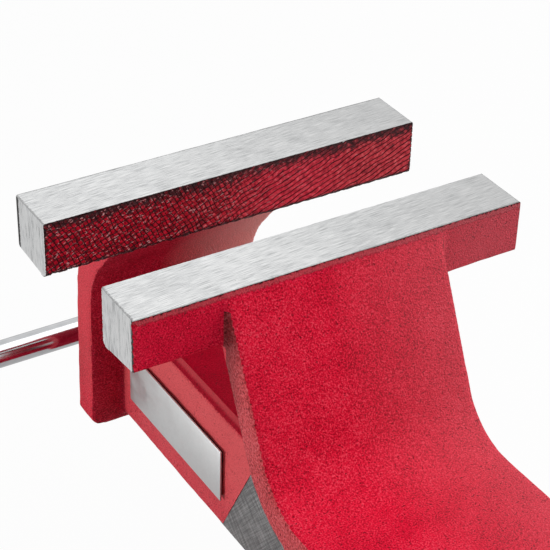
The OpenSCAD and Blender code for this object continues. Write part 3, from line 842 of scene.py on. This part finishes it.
def serrated_slab(name, face, away, lower_edge, seed):
    """A slab with its crests just behind Y = face. lower_edge is the radius of its bottom edge."""
    main = across_grooves(MAIN_ANGLE, MAIN_PITCH)
    cross = across_grooves(CROSS_ANGLE, CROSS_PITCH)
    lattice = Matrix((main, cross)).inverted()
    middle = (JAW_TOP + JAW_FACE_LOW) / 2
    shape = bmesh.new()
    points = {}

    def groove(count, inside):
        """A groove's depth from 0 to 1, shallow where it runs out at the top edge."""
        depth = max(0, 1 - abs(count - round(count)) / GROOVE_SHARE)
        return depth * min(1, 0.3 + inside / 1.2)

    def corner(s, t):
        """The mesh's point at a place on the lattice, made when it is first asked for."""
        key = (round(s * 100), round(t * 100))
        if key in points:
            return points[key]
        x, z = lattice @ Vector((s, t))
        z += middle
        spot = Vector((x, z, seed))
        x += wave(spot, 4.5) * WANDER
        z += wave(spot, 4.1, (7, 3, 5)) * WANDER + wave(spot, 1.1) * 0.1
        inside = max(0, JAW_TOP - z)
        fade = max(0, min(1, (x - CROSS_FROM) / CROSS_FADE))
        # Grooves are bitten deep in some places and hardly in others, and torn under the ground top
        bite = min(1, 0.6 + max(0, wave(spot, 2.6, (1, 9, 4)) + 0.25) * 1.6)
        torn = max(0, 1 - (JAW_TOP - z) / TORN_BAND) * abs(wave(spot, 0.8)) * 0.5
        depth = GROOVE_DEPTH * bite * max(groove(s, inside), groove(t, inside) * 0.85 * fade)
        depth += max(0, wave(spot, 2.3)) * 0.08 + torn * min(1, inside / 0.6)
        # The bottom edge is round, and scalloped where the second family is full
        scallop = max(0, 0.35 + noise.noise(Vector((x / 1.1, seed, 3))) * 0.7) * (0.15 + 0.85 * fade)
        over = max(0, lower_edge - (z - JAW_FACE_LOW - scallop))
        drop = lower_edge - math.sqrt(max(0, lower_edge ** 2 - over ** 2))
        place = Vector((x, face + away * (CREST_GAP + depth + drop), z)) * MM
        points[key] = shape.verts.new(place)
        return points[key]

    reach = 2
    half_height = JAW_FACE_HEIGHT / 2
    ends = [Vector((x, z)) for x in (-JAW_HALF - reach, JAW_HALF + reach)
            for z in (-half_height - reach, half_height + reach)]
    s_range, t_range = [
        range(math.floor(min(step.dot(p) for p in ends)), math.ceil(max(step.dot(p) for p in ends)))
        for step in (main, cross)]
    for i in s_range:
        for j in t_range:
            x, z = lattice @ Vector((i + 0.5, j + 0.5))
            if abs(x) > JAW_HALF + 2 * reach or abs(z) > half_height + 2 * reach:
                continue
            s_lines, t_lines = [(k, k + GROOVE_SHARE, k + 1 - GROOVE_SHARE, k + 1) for k in (i, j)]
            for a, b in zip(s_lines, s_lines[1:]):
                for c, d in zip(t_lines, t_lines[1:]):
                    shape.faces.new([corner(a, c), corner(b, c), corner(b, d), corner(a, d)])
    for place, direction in (
        ((JAW_HALF, 0, 0), (1, 0, 0)), ((-JAW_HALF, 0, 0), (-1, 0, 0)),
        ((0, 0, JAW_TOP), (0, 0, 1)), ((0, 0, JAW_FACE_LOW), (0, 0, -1)),
    ):
        trim(shape, Vector(place) * MM, direction)
    rim = [edge for edge in shape.edges if edge.is_boundary]
    for made in bmesh.ops.extrude_edge_only(shape, edges=rim)["geom"]:
        if isinstance(made, bmesh.types.BMVert):
            made.co.y = (face + away * SLAB_BACK) * MM
    close(shape)
    mesh = bpy.data.meshes.new(name)
    shape.to_mesh(mesh)
    shape.free()
    return link(name, mesh)


# Extra metal on a cast jaw, which grinding takes off, and the small flat that breaks its ground edges
STOCK = 3
TOP_STOCK = 1.0
GROUND_CHAMFER = 0.35
# The grinding tools reach this far past a jaw's ends and top, behind its back, and below its face
BEYOND = 20
BEYOND_BACK = 4
BEYOND_BELOW = 8


def jaw_stock(face, away):
    """A jaw bar with extra metal at its face, ends and top. away is +1 or -1, from face to back along Y."""
    front = face - away * STOCK
    back = face + away * JAW_DEPTH
    slope = (JAW_FACE_HEIGHT - JAW_BACK_HEIGHT) / JAW_DEPTH
    outline = [
        (front, JAW_TOP + TOP_STOCK), (front, JAW_FACE_LOW - STOCK * slope),
        (back, JAW_TOP - JAW_BACK_HEIGHT), (back, JAW_TOP + TOP_STOCK),
    ]
    return prism("stock", outline, "x", -JAW_HALF - STOCK, JAW_HALF + STOCK)


def grind_jaw(piece, face, away):
    """Cuts the top, the ends and the seat of the serrations."""
    front = face - away * BEYOND
    y0, y1 = sorted((front, face + away * (JAW_DEPTH + BEYOND_BACK)))
    s0, s1 = sorted((front, face + away * SEAT_DEPTH))
    wide, high, low = JAW_HALF + BEYOND, JAW_TOP + BEYOND, JAW_FACE_LOW - BEYOND_BELOW
    return cut(
        piece,
        block("top", (-wide, y0, JAW_TOP), (wide, y1, high)),
        block("end", (JAW_HALF, y0, low), (wide, y1, high)),
        block("end", (-wide, y0, low), (-JAW_HALF, y1, high)),
        block("seat", (-wide, s0, low), (wide, s1, high)),
    )


def break_edges(piece, face, away):
    """Takes the sharpness off the edges between the top and the ends."""
    y0, y1 = sorted((face - away * 5, face + away * (JAW_DEPTH + 5)))
    for side in (-1, 1):
        slanted = [
            (side * (JAW_HALF + 1), JAW_TOP - GROUND_CHAMFER - 1), (side * (JAW_HALF + 2), JAW_TOP + 2),
            (side * (JAW_HALF - GROUND_CHAMFER - 1), JAW_TOP + 1),
        ]
        cut(piece, prism("edge", slanted, "y", y0, y1))
    return piece


def jaw_material(centre, normal, face, away):
    """The material of a ground top, a ground end or the serrations, and None elsewhere on a jaw."""
    if centre.z > JAW_TOP - GROUND_CHAMFER and normal.z > 0.5:
        return ground_top
    if abs(abs(centre.x) - JAW_HALF) < 0.01 and abs(normal.x) > 0.9:
        return ground_end
    if abs(centre.y - face) < SEAT_DEPTH and normal.y * away < -0.15:
        return teeth_paint
    return None


# The paint on the slide ends on a slanted line that follows the tunnel's mouth
PAINT_END_Y = -75
PAINT_END_Z = 95.6
PAINT_LEAN = math.radians(27.6)
# The milled slide starts this far inside the painted casting
SLIDE_OVERLAP = 1.5
SLIDE_PLAY = 0.12
SLIDE_CHAMFER = 0.5


def paint_end(z):
    return PAINT_END_Y + (z - PAINT_END_Z) * math.tan(PAINT_LEAN)


def slanted_half(back):
    """Everything behind the slanted line, as a block. back moves its face towards the anvil."""
    outline = [(paint_end(-50) + back, -50), (400, -50), (400, 300), (paint_end(300) + back, 300)]
    return prism("behind", outline, "x", -150, 150)


def milled_slide():
    """The slide behind the paint, with small chamfers. Its front follows the slanted line."""
    half, rib = SLIDE_HALF - SLIDE_PLAY, SLIDE_RIB_HALF - SLIDE_PLAY
    low, shoulder, top = SLIDE_BOTTOM + SLIDE_PLAY, SLIDE_SHOULDER - SLIDE_PLAY, SLIDE_RIB_TOP - SLIDE_PLAY
    right = [
        (CHANNEL_HALF, low), (half - SLIDE_CHAMFER, low), (half, low + SLIDE_CHAMFER),
        (half, shoulder - SLIDE_CHAMFER), (half - SLIDE_CHAMFER, shoulder), (rib, shoulder),
        (rib, top - SLIDE_CHAMFER), (rib - SLIDE_CHAMFER, top),
    ]
    left = [(-x, z) for x, z in reversed(right)]
    outline = right + left + [(-CHANNEL_HALF, CHANNEL_TOP), (CHANNEL_HALF, CHANNEL_TOP)]
    return between(
        "slide", [(x, paint_end(z) - SLIDE_OVERLAP, z) for x, z in outline],
        [(x, jaw_high.y, z) for x, z in outline])


# Bores, bolts and seats as in the CAD, in millimetres
SPINDLE_R = 10
SPINDLE_BORE_R = 10.2
TUNNEL_PLAY = 0.1
BOLT_R = 5
BOLT_ROOT_R = 4.3
BOLT_PITCH = 1.5
BOLT_HOLE_R = 5.5
WASHER_HOLE_R = 5.3
NUT_SEAT_R = 11
NUT_SEAT_Z = 44
LOCK_SEAT_R = 12.5
LOCK_SEAT_Z = 46
LOCK_SEAT_TOP = 47.5
PAD_R = 12
PAD_Z = 14.6
# The base's top is cast with extra metal in this ring, which turning takes off
BASE_RIM_R = 78
STOCK_FROM_Z = 30
# Faces that run on each other stay this far apart
RUNNING_GAP = 0.05
# The nut reaches this far into the painted part of the slide's channel when the jaws are closed
CHANNEL_CLEAN_FROM = -95
# Below this height the fixed casting's inner corners are filled deeper, and the others by this share
LOW_CASTING = 62
HIGH_FILL = 0.5
# Above this height the neck and the anvil are left rough by the mould
COARSE_FROM_Z = 100
# Chips along the back edge of the fixed jaw's right end: how far below the top, and their size
CHIPS = [(2.2, 2.6), (5.2, 1.7), (7.6, 1.4), (9.9, 1.8), (12.4, 1.4), (14.8, 1.9)]
# A face looks sideways when the share of its normal along X is more than this
SIDEWAYS = 0.6


def moving_casting():
    piece = copy_of("moving_jaw", "moving_casting")
    cut(piece, slanted_half(4))
    join_loose(piece, [jaw_stock(MOVING_FACE, -1)])
    sand_cast(piece, 0.9, 5, seed=1)
    grind_jaw(piece, MOVING_FACE, -1)
    cut(
        piece, slanted_half(0), rod("bore", SPINDLE_BORE_R, "y", SPINDLE_AXIS, BOSS_FACE - 5, -150),
        block("boss_face", (-40, BOSS_FACE - 10, 40), (40, BOSS_FACE, 130)),
        block("channel", (-CHANNEL_HALF, CHANNEL_CLEAN_FROM, 30), (CHANNEL_HALF, 0, CHANNEL_TOP)),
    )
    join(piece, serrated_slab("teeth", MOVING_FACE, -1, 2.0, 4), milled_slide())
    break_edges(piece, MOVING_FACE, -1)

    def pick(centre, normal):
        sideways = abs(normal.x) > SIDEWAYS
        if centre.z > JAW_FACE_LOW - 0.01 and centre.y > MOVING_FACE - JAW_DEPTH - 3:
            return jaw_material(centre, normal, MOVING_FACE, -1) or fine_enamel
        if centre.y > paint_end(centre.z) + 0.02 or abs(centre.y - BOSS_FACE) < 0.01:
            return milled
        if sideways and centre.y < WALL_INSIDE_Y and abs(centre.x) > SLIDE_HALF + 1:
            return coarse_enamel
        if centre.y > WALL_INSIDE_Y and SLIDE_BOTTOM < centre.z < SLIDE_RIB_TOP + 0.5:
            outside = abs(centre.x) > SLIDE_HALF - 0.6 and centre.z < SLIDE_SHOULDER - 0.2
            return slide_side_enamel_with_painted_sheen if sideways and outside else slide_top_enamel_with_painted_shade
        return neck_enamel_with_painted_sheen if centre.z < JAW_FACE_LOW and normal.y > 0.3 else fine_enamel

    dress(piece, [
        fine_enamel, ground_top, ground_end, teeth_paint, milled, coarse_enamel, slide_top_enamel_with_painted_shade, slide_side_enamel_with_painted_sheen,
        neck_enamel_with_painted_sheen], pick)
    return place_on(piece, "jaw", "cast_paint", "moving_jaw")


def fixed_casting():
    piece = copy_of("fixed_body", "fixed_casting")
    cut(piece, block("spigot", (-100, -100, 20), (100, 100, BASE_TOP)))
    foot = rod("foot", 80, "z", (0, 0, 0), BASE_TOP - 3, BASE_TOP + 1)
    join_loose(piece, [jaw_stock(FIXED_FACE, 1), foot])
    sand_cast(piece, 0.95, 5, seed=2, deep=lambda z: np.where(z < LOW_CASTING, 1.0, HIGH_FILL))
    grind_jaw(piece, FIXED_FACE, 1)
    wide, rib = SLIDE_HALF + TUNNEL_PLAY, SLIDE_RIB_HALF + TUNNEL_PLAY
    low, top = SLIDE_BOTTOM - TUNNEL_PLAY, SLIDE_RIB_TOP + TUNNEL_PLAY
    shoulder = SLIDE_SHOULDER + TUNNEL_PLAY
    tunnel = [
        (-wide, low), (wide, low), (wide, shoulder), (rib, shoulder),
        (rib, top), (-rib, top), (-rib, shoulder), (-wide, shoulder),
    ]
    cut(
        piece, prism("tunnel", tunnel, "y", -100, 100),
        block("foot_face", (-100, -100, 20), (100, 100, BASE_TOP + RUNNING_GAP)),
    )
    join(piece, rod("spigot", OPENING_R - 0.1, "z", (0, 0, 0), BASE_TOP - 6, BASE_TOP + 2, 128))
    nut = (0, middle_of("nut_bolt").y, 0)
    locks_at = [(way * middle_of("lock_bolt_right").x, 0, 0) for way in (1, -1)]
    cut(
        piece, rod("bolt_hole", BOLT_HOLE_R, "z", nut, 20, 75),
        rod("bolt_seat", NUT_SEAT_R, "z", nut, 20, NUT_SEAT_Z),
        *[rod("lock_hole", BOLT_HOLE_R, "z", at, 20, 60) for at in locks_at],
        *[rod("lock_seat", LOCK_SEAT_R, "z", at, LOCK_SEAT_Z, LOCK_SEAT_TOP) for at in locks_at],
    )
    join(piece, serrated_slab("teeth", FIXED_FACE, 1, 1.2, 7))
    break_edges(piece, FIXED_FACE, 1)
    for below, size in CHIPS:
        place = (JAW_HALF + 0.1, FIXED_FACE + JAW_DEPTH + 0.2, JAW_TOP - below)
        cut(piece, aim(turned("chip", [(0, -size), (size * 0.7, 0), (0, size * 1.2)], 7), "z", place))

    def pick(centre, normal):
        on_jaw = centre.z > JAW_FACE_LOW - 0.01 and centre.y < FIXED_FACE + JAW_DEPTH + 1
        ground = jaw_material(centre, normal, FIXED_FACE, 1)
        if ground and on_jaw:
            return ground
        if centre.y > FIXED_FACE + JAW_DEPTH + 0.4 and centre.z > COARSE_FROM_Z:
            if abs(normal.x) > SIDEWAYS:
                return coarse_side_enamel_with_painted_shade
            if normal.z > 0.25:
                return coarse_enamel
        in_tunnel = abs(centre.x) < wide + 0.01 and low - 0.01 < centre.z < top + 0.01
        under = centre.z < BASE_TOP + 0.1
        near_lock = abs(abs(centre.x) - locks_at[0][0]) < 13 and abs(centre.y) < 13
        seat = abs(centre.z - LOCK_SEAT_Z) < 0.02 and normal.z > 0.99 and near_lock
        return milled if in_tunnel and abs(normal.y) < 0.3 or under or seat else fine_enamel

    dress(piece, [
        fine_enamel, ground_top, ground_end, teeth_paint, milled, coarse_enamel, coarse_side_enamel_with_painted_shade], pick)
    return place_on(piece, "body", "cast_paint", "fixed_body")


def base_casting():
    piece = copy_of("swivel_base", "base_casting")
    low, high = STOCK_FROM_Z, BASE_TOP + 1.5
    stock = [(OPENING_R, low), (BASE_RIM_R, low), (BASE_RIM_R, high), (OPENING_R, high), (OPENING_R, low)]
    join_loose(piece, [turned("stock", stock, 96)])
    sand_cast(piece, 1.3, 7, seed=3)
    cut(
        piece, block("top", (-100, -100, BASE_TOP - RUNNING_GAP), (100, 100, 60)),
        block("bottom", (-150, -150, -20), (150, 150, 0)),
        rod("opening", OPENING_R, "z", (0, 0, 0), -5, 50, 128),
    )
    # The skin's waves may not reach past the CAD
    reach = base_high.x - 0.03
    combine(piece, block("widest", (-reach, -reach, -5), (reach, reach, 60)), "INTERSECT")
    centre = mount_mm("base_bolts")
    pattern = next(m for m in frame["record"]["mounts"] if m["name"] == "base_bolts")["dims"]
    radius = pattern["pcd_mm"] / 2
    for i in range(pattern["count"]):
        angle = math.radians(45 + 360 / pattern["count"] * i)
        place = (centre.x + radius * math.cos(angle), centre.y + radius * math.sin(angle), 0)
        cut(piece, rod("hole", pattern["hole_r_mm"], "z", place, -5, 40))
        cut(piece, rod("pad", PAD_R, "z", place, PAD_Z, 30))

    def pick(centre, normal):
        flat = normal.z > 0.99 and min(abs(centre.z - PAD_Z), abs(centre.z - BASE_TOP + RUNNING_GAP)) < 0.02
        bore = abs(math.hypot(centre.x, centre.y) - OPENING_R) < 0.1
        return milled if flat or bore or centre.z < 0.01 else fine_enamel

    dress(piece, [fine_enamel, milled], pick)
    return place_on(piece, "base", "cast_paint", "swivel_base")


# The small parts, turned, drilled and threaded. Each takes its places from its node.
SPINDLE_LEAD = 4
SPINDLE_HEAD_EDGE = 2.2
BAR_HOLE_R = 4.6
PIN_HOLE_R = 1.52
KNOB_EDGE = 1.5
LOCK_KNOB_LENGTH = 5
# A bar's stud inside its knob as a share of the bar's radius, and the play round it
STUD_SHARE = 0.65
SLIP = 0.02
DISC_HOLE_R = 14
DISC_RIM = 8
DISC_BOLT_HOLE_R = 5.05
# The foam has pulled back a little from the plate's edges
TAPE_SHRINK = 0.6


def tell(piece, material, body, slot, node):
    """Finishes a piece of one material, which stands for one node."""
    dress(piece, [material])
    return place_on(piece, body, slot, node)


def ring(name, axis, place, inside, out, low, high, edge=0.35):
    return spun(name, axis, place, [(inside, low), (out, low), (out, high), (inside, high)], edge)


def drilled_knob(name, axis, place, way, radius, length, hole_radius, hole_length):
    """A barrel knob on the end of a bar. way is +1 or -1, its direction along the axis from place."""
    corners = [
        (0, way * hole_length), (hole_radius, way * hole_length), (hole_radius, 0), (radius, 0),
        (radius, way * length), (0, way * length),
    ]
    radii = [0, 0, 0.25, KNOB_EDGE, KNOB_EDGE, 0]
    return aim(turned(name, rounded(corners, radii, 5), 56), axis, place)


def bar_with_studs(name, axis, place, radius, half, stud_half):
    """A bar that is thinner at its ends, where the knobs cover it."""
    stud = radius * STUD_SHARE
    corners = [
        (0, -stud_half), (stud, -stud_half), (stud, -half), (radius, -half),
        (radius, half), (stud, half), (stud, stud_half), (0, stud_half),
    ]
    radii = [0, 0.3, 0, 0.5, 0.5, 0, 0.3, 0]
    return aim(turned(name, rounded(corners, radii, 3), 56), axis, place)


def handle_bar():
    low, high = span("tommy_bar")
    knob_low, knob_high = span("tommy_knob_right")
    place = (low + high) / 2
    radius = round((high.z - low.z) / 2, 1)
    half = knob_low.x
    bar = bar_with_studs("handle_bar", "x", place, radius, half, high.x)
    tell(bar, chrome, "handle", "chrome_plate", "tommy_bar")
    for way, side in ((-1, "left"), (1, "right")):
        knob = drilled_knob(
            "handle_knob_" + side, "x", place + Vector((way * half, 0, 0)), way,
            (knob_high.z - knob_low.z) / 2, knob_high.x - half, radius * STUD_SHARE + SLIP,
            high.x - half + SLIP)
        tell(knob, chrome, "handle", "chrome_plate", "tommy_knob_" + side)


def spindle_screw():
    low, high = span("spindle")
    washer_front = span("thrust_washer")[0].y
    thread_from = span("retaining_collar")[1].y + SPINDLE_LEAD
    head = (high.x - low.x) / 2
    corners = [
        (0, low.y), (head, low.y), (head, washer_front), (SPINDLE_R, washer_front),
        (SPINDLE_R, thread_from + 0.5), (0, thread_from + 0.5),
    ]
    profile = rounded(corners, [0, SPINDLE_HEAD_EDGE, 1.0, 0, 0.4, 0], 5)
    piece = aim(turned("spindle_screw", profile, 72), "y", SPINDLE_AXIS)
    root = SPINDLE_R - SPINDLE_LEAD / 2
    screw = threaded("thread", SPINDLE_R, root, SPINDLE_LEAD, thread_from, high.y)
    aim(screw, "y", SPINDLE_AXIS)
    # The thread ends in a chamfer that leads it into the nut
    wide = SPINDLE_R + 1
    start = thread_from - 1
    sleeve = [(0, start), (wide, start), (wide, high.y - 3), (root, high.y), (0, high.y)]
    combine(screw, spun("sleeve", "y", SPINDLE_AXIS, sleeve, 0), "INTERSECT")
    join(piece, screw)
    bar = middle_of("tommy_bar")
    pin = middle_of("collar_pin")
    reach = head + 5
    cut(piece, rod("bar_hole", BAR_HOLE_R, "x", (0, bar.y, bar.z), -reach, reach, 48))
    for way in (-1, 1):
        mouth = [
            (0, way * (head - 3.2)), (BAR_HOLE_R, way * (head - 2.2)), (BAR_HOLE_R + 4, way * (head + 3)),
            (0, way * (head + 3)),
        ]
        cut(piece, aim(turned("mouth", mouth, 48), "x", (0, bar.y, bar.z)))
    cut(piece, rod("pin_hole", PIN_HOLE_R, "x", (0, pin.y, pin.z), -reach, reach, 24))
    tell(piece, turned_steel, "spindle", "turned_steel", "spindle")


def rings():
    low, high = span("thrust_washer")
    out = (high.z - low.z) / 2
    piece = ring("thrust_ring", "y", SPINDLE_AXIS, SPINDLE_R + 0.3, out, low.y, high.y)
    tell(piece, zinc, "jaw", "zinc_steel", "thrust_washer")

    low, high = span("retaining_collar")
    piece = ring("spindle_collar", "y", SPINDLE_AXIS, SPINDLE_R + SLIP, high.x, low.y, high.y, 0.5)
    pin_low, pin_high = span("collar_pin")
    pin_r = (pin_high.z - pin_low.z) / 2
    pin = middle_of("collar_pin")
    cut(piece, rod("pin_hole", pin_r + SLIP, "x", pin, -20, 20, 24))
    tell(piece, black_iron, "spindle", "black_iron", "retaining_collar")
    corners = [(0, pin_low.x), (pin_r, pin_low.x), (pin_r, pin_high.x), (0, pin_high.x)]
    tell(spun("spring_pin", "x", pin, corners, 0.3, 24), zinc, "spindle", "zinc_steel", "collar_pin")

    low, high = span("nut_washer")
    place = middle_of("nut_washer")
    out = (high.x - low.x) / 2
    piece = ring("nut_ring", "z", (place.x, place.y, 0), WASHER_HOLE_R, out, low.z, high.z)
    tell(piece, zinc, "body", "zinc_steel", "nut_washer")

    low, high = span("lock_washers")
    bolt = middle_of("lock_bolt_right")
    out = (high.y - low.y) / 2
    sides = [
        ring("lock_rings", "z", (way * bolt.x, 0, 0), WASHER_HOLE_R, out, low.z, high.z) for way in (1, -1)]
    tell(join_loose(sides[0], sides[1:]), zinc, "body", "zinc_steel", "lock_washers")


def bolt_shank(place, low, high):
    return aim(threaded("shank", BOLT_R, BOLT_ROOT_R, BOLT_PITCH, low, high, 32), "z", place)


def nut_and_bolt():
    tell(bevelled_copy("spindle_nut", "nut_block", 0.6), black_iron, "body", "black_iron", "spindle_nut")
    low, high = span("nut_bolt")
    place = middle_of("nut_bolt")
    place.z = 0
    head_r = (high.x - low.x) / 2
    head_top = span("nut_washer")[0].z
    turns = [math.radians(60 * k) for k in range(6)]
    hexagon = [(place.x + head_r * math.cos(turn), place.y + head_r * math.sin(turn)) for turn in turns]
    piece = prism("nut_screw", hexagon, "z", low.z, head_top)
    # The hexagon's corners are turned off at its free end
    wide = head_r + 0.6
    dome = [(0, low.z), (head_r * 0.86, low.z), (wide, low.z + 2.2), (wide, head_top), (0, head_top)]
    combine(piece, aim(turned("dome", dome, 48), "z", place), "INTERSECT")
    join(piece, bolt_shank(place, head_top - 0.5, high.z))
    tell(piece, zinc, "body", "zinc_steel", "nut_bolt")


def locks():
    for side in ("left", "right"):
        low, high = span("lock_bolt_" + side)
        place = Vector((middle_of("lock_bolt_" + side).x, 0, 0))
        head_r = (high.x - low.x) / 2
        head_z = span("lock_washers")[1].z
        bar_low, bar_high = span("lock_bar_" + side)
        bar_r = round((bar_high.x - bar_low.x) / 2, 1)
        centre = Vector((place.x, 0, middle_of("lock_bar_" + side).z))
        head = [(0, head_z), (head_r, head_z), (head_r, high.z), (0, high.z)]
        piece = aim(turned("lock_screw_" + side, rounded(head, [0, 0.6, 2.0, 0], 5), 56), "z", place)
        join(piece, bolt_shank(place, low.z, head_z + 0.5))
        cut(piece, rod("bar_hole", bar_r + RUNNING_GAP, "y", centre, -20, 20, 40))
        tell(piece, zinc, "lock_" + side, "zinc_steel", "lock_bolt_" + side)

        knob_low, knob_high = span("lock_knobs_" + side)
        knob_r = (knob_high.z - knob_low.z) / 2
        half = knob_high.y - LOCK_KNOB_LENGTH
        bar = bar_with_studs("lock_handle_bar_" + side, "y", centre, bar_r, half, bar_high.y)
        tell(bar, chrome, "lock_handle_" + side, "chrome_plate", "lock_bar_" + side)
        knobs = [
            drilled_knob(
                "lock_handle_knobs_" + side, "y", centre + Vector((0, way * half, 0)), way, knob_r,
                LOCK_KNOB_LENGTH, bar_r * STUD_SHARE + SLIP, bar_high.y - half + SLIP)
            for way in (1, -1)]
        both = join_loose(knobs[0], knobs[1:])
        tell(both, chrome, "lock_handle_" + side, "chrome_plate", "lock_knobs_" + side)


def swivel_disc():
    low, high = span("lock_disc")
    rim = high.x - DISC_RIM
    corners = [
        (DISC_HOLE_R, low.z), (high.x, low.z), (high.x, high.z), (rim, high.z), (rim - 1, high.z - 1),
        (DISC_HOLE_R, high.z - 1),
    ]
    profile = rounded(corners, [0.8, 1.6, 0.5, 0.5, 0.5, 0.8], 3)
    piece = turned("swivel_disc", profile + profile[:1], 112)
    bolt = middle_of("lock_bolt_right")
    for way in (-1, 1):
        cut(piece, rod("hole", DISC_BOLT_HOLE_R, "z", (way * bolt.x, 0, 0), low.z - 5, high.z + 5, 40))
    tell(piece, black_iron, "body", "black_iron", "lock_disc")


def plate_on_tape():
    tell(bevelled_copy("name_plate", "bare_plate", 0.14), plate_metal, "jaw", "plate_metal", "name_plate")
    low, high = span("plate_tape")
    shrink = Vector((0, TAPE_SHRINK, TAPE_SHRINK))
    tell(block("plate_backing", low + shrink, high - shrink), tape, "jaw", "foam_tape", "plate_tape")


moving_casting()
fixed_casting()
base_casting()
handle_bar()
spindle_screw()
rings()
nut_and_bolt()
locks()
swivel_disc()
plate_on_tape()


# The stage: a pale floor, a white surround, four soft lamps and the camera. The strongest lamp stands
# far out on the photograph's right, and only the overhead and the low near lamp show in reflections.
WORLD_FILL = 0.12
FLOOR_SEEN = 0.96
FLOOR_MIRRORED = 0.35


def make_floor():
    """The floor is pale paint for the lamps, white for the camera, and in between for a reflection."""
    half = 4000
    corners = [(-half, -half, 0), (half, -half, 0), (half, half, 0), (-half, half, 0)]
    piece = from_points("floor", corners, [(0, 1, 2, 3)])
    material, tree, _ = start_material("pale_studio_floor")
    paint = add(tree, "ShaderNodeBsdfDiffuse", {"Color": linear("CFCFCF")})
    white = add(tree, "ShaderNodeEmission", {"Color": (1, 1, 1, 1), "Strength": 1.0})
    ray = add(tree, "ShaderNodeLightPath").outputs
    mirrored = add(tree, "ShaderNodeMath", {
        0: ray["Is Glossy Ray"], 1: ray["Is Transmission Ray"]}, operation="MAXIMUM")
    partly = add(tree, "ShaderNodeMath", {0: mirrored, 1: FLOOR_MIRRORED}, operation="MULTIPLY")
    mostly = add(tree, "ShaderNodeMath", {0: ray["Is Camera Ray"], 1: FLOOR_SEEN}, operation="MULTIPLY")
    share = add(tree, "ShaderNodeMath", {0: partly, 1: mostly}, operation="MAXIMUM")
    mixed = add(tree, "ShaderNodeMixShader", {0: share, 1: paint, 2: white})
    add(tree, "ShaderNodeOutputMaterial", {"Surface": mixed})
    piece.data.materials.append(material)


def make_world():
    """White for the camera and in reflections, and a weaker fill for everything else."""
    world = bpy.data.worlds.new("white_surround")
    bpy.context.scene.world = world
    world.use_nodes = True
    tree = world.node_tree
    tree.nodes.clear()
    ray = add(tree, "ShaderNodeLightPath").outputs
    seen = ray["Is Camera Ray"]
    for other in ("Is Glossy Ray", "Is Transmission Ray"):
        seen = add(tree, "ShaderNodeMath", {0: seen, 1: ray[other]}, operation="MAXIMUM")
    strength = add(tree, "ShaderNodeMapRange", {"Value": seen, "To Min": WORLD_FILL, "To Max": 1.0})
    light = add(tree, "ShaderNodeBackground", {"Color": (1, 1, 1, 1), "Strength": strength})
    add(tree, "ShaderNodeOutputWorld", {"Surface": light})


def softbox(name, place, target, size, power, mirrored=True):
    """A square lamp. One that isn't mirrored leaves no glare on polished metal."""
    lamp = bpy.data.lights.new(name, "AREA")
    lamp.shape = "SQUARE"
    lamp.size = size
    lamp.energy = power
    holder = link(name, lamp)
    holder.location = place
    holder.rotation_mode = "QUATERNION"
    holder.rotation_quaternion = (Vector(target) - Vector(place)).to_track_quat("-Z", "Y")
    holder.visible_glossy = mirrored


PHOTO_SIDE = 550
FOCAL_PIXELS = 1855.8
CAMERA_AT = Vector((238.79, 293.29, 448.48)) * MM
CAMERA_RIGHT = Vector((-0.8575, 0.5140, 0.0216))
CAMERA_BACK = Vector((0.4406, 0.7121, 0.5467))


def make_camera():
    """The camera was worked out from the corners of the two jaws in the photograph."""
    back = CAMERA_BACK.normalized()
    right = (CAMERA_RIGHT - back * CAMERA_RIGHT.dot(back)).normalized()
    up = back.cross(right)
    data = bpy.data.cameras.new("camera")
    data.sensor_width = 36
    data.lens = FOCAL_PIXELS / PHOTO_SIDE * data.sensor_width
    data.clip_start = 0.01
    camera = link("camera", data)
    turn = Matrix((right, up, back)).transposed().to_4x4()
    camera.matrix_world = Matrix.Translation(CAMERA_AT) @ turn
    bpy.context.scene.camera = camera


make_floor()
make_world()
softbox("overhead", (0, -0.05, 1.4), (0, -0.05, 0.1), 1.3, 6.2)
softbox("behind_camera", (0, 0.7, 1.25), (0, -0.05, 0.1), 1.2, 5.0, mirrored=False)
softbox("far_side", (-1.2, 0.1, 0.7), (0, -0.05, 0.1), 1.5, 20.5, mirrored=False)
softbox("near_side_low", (0.85, -0.3, 0.14), (0, -0.08, 0.12), 0.25, 2.9)
make_camera()
bpy.context.scene.view_settings.view_transform = "Standard"
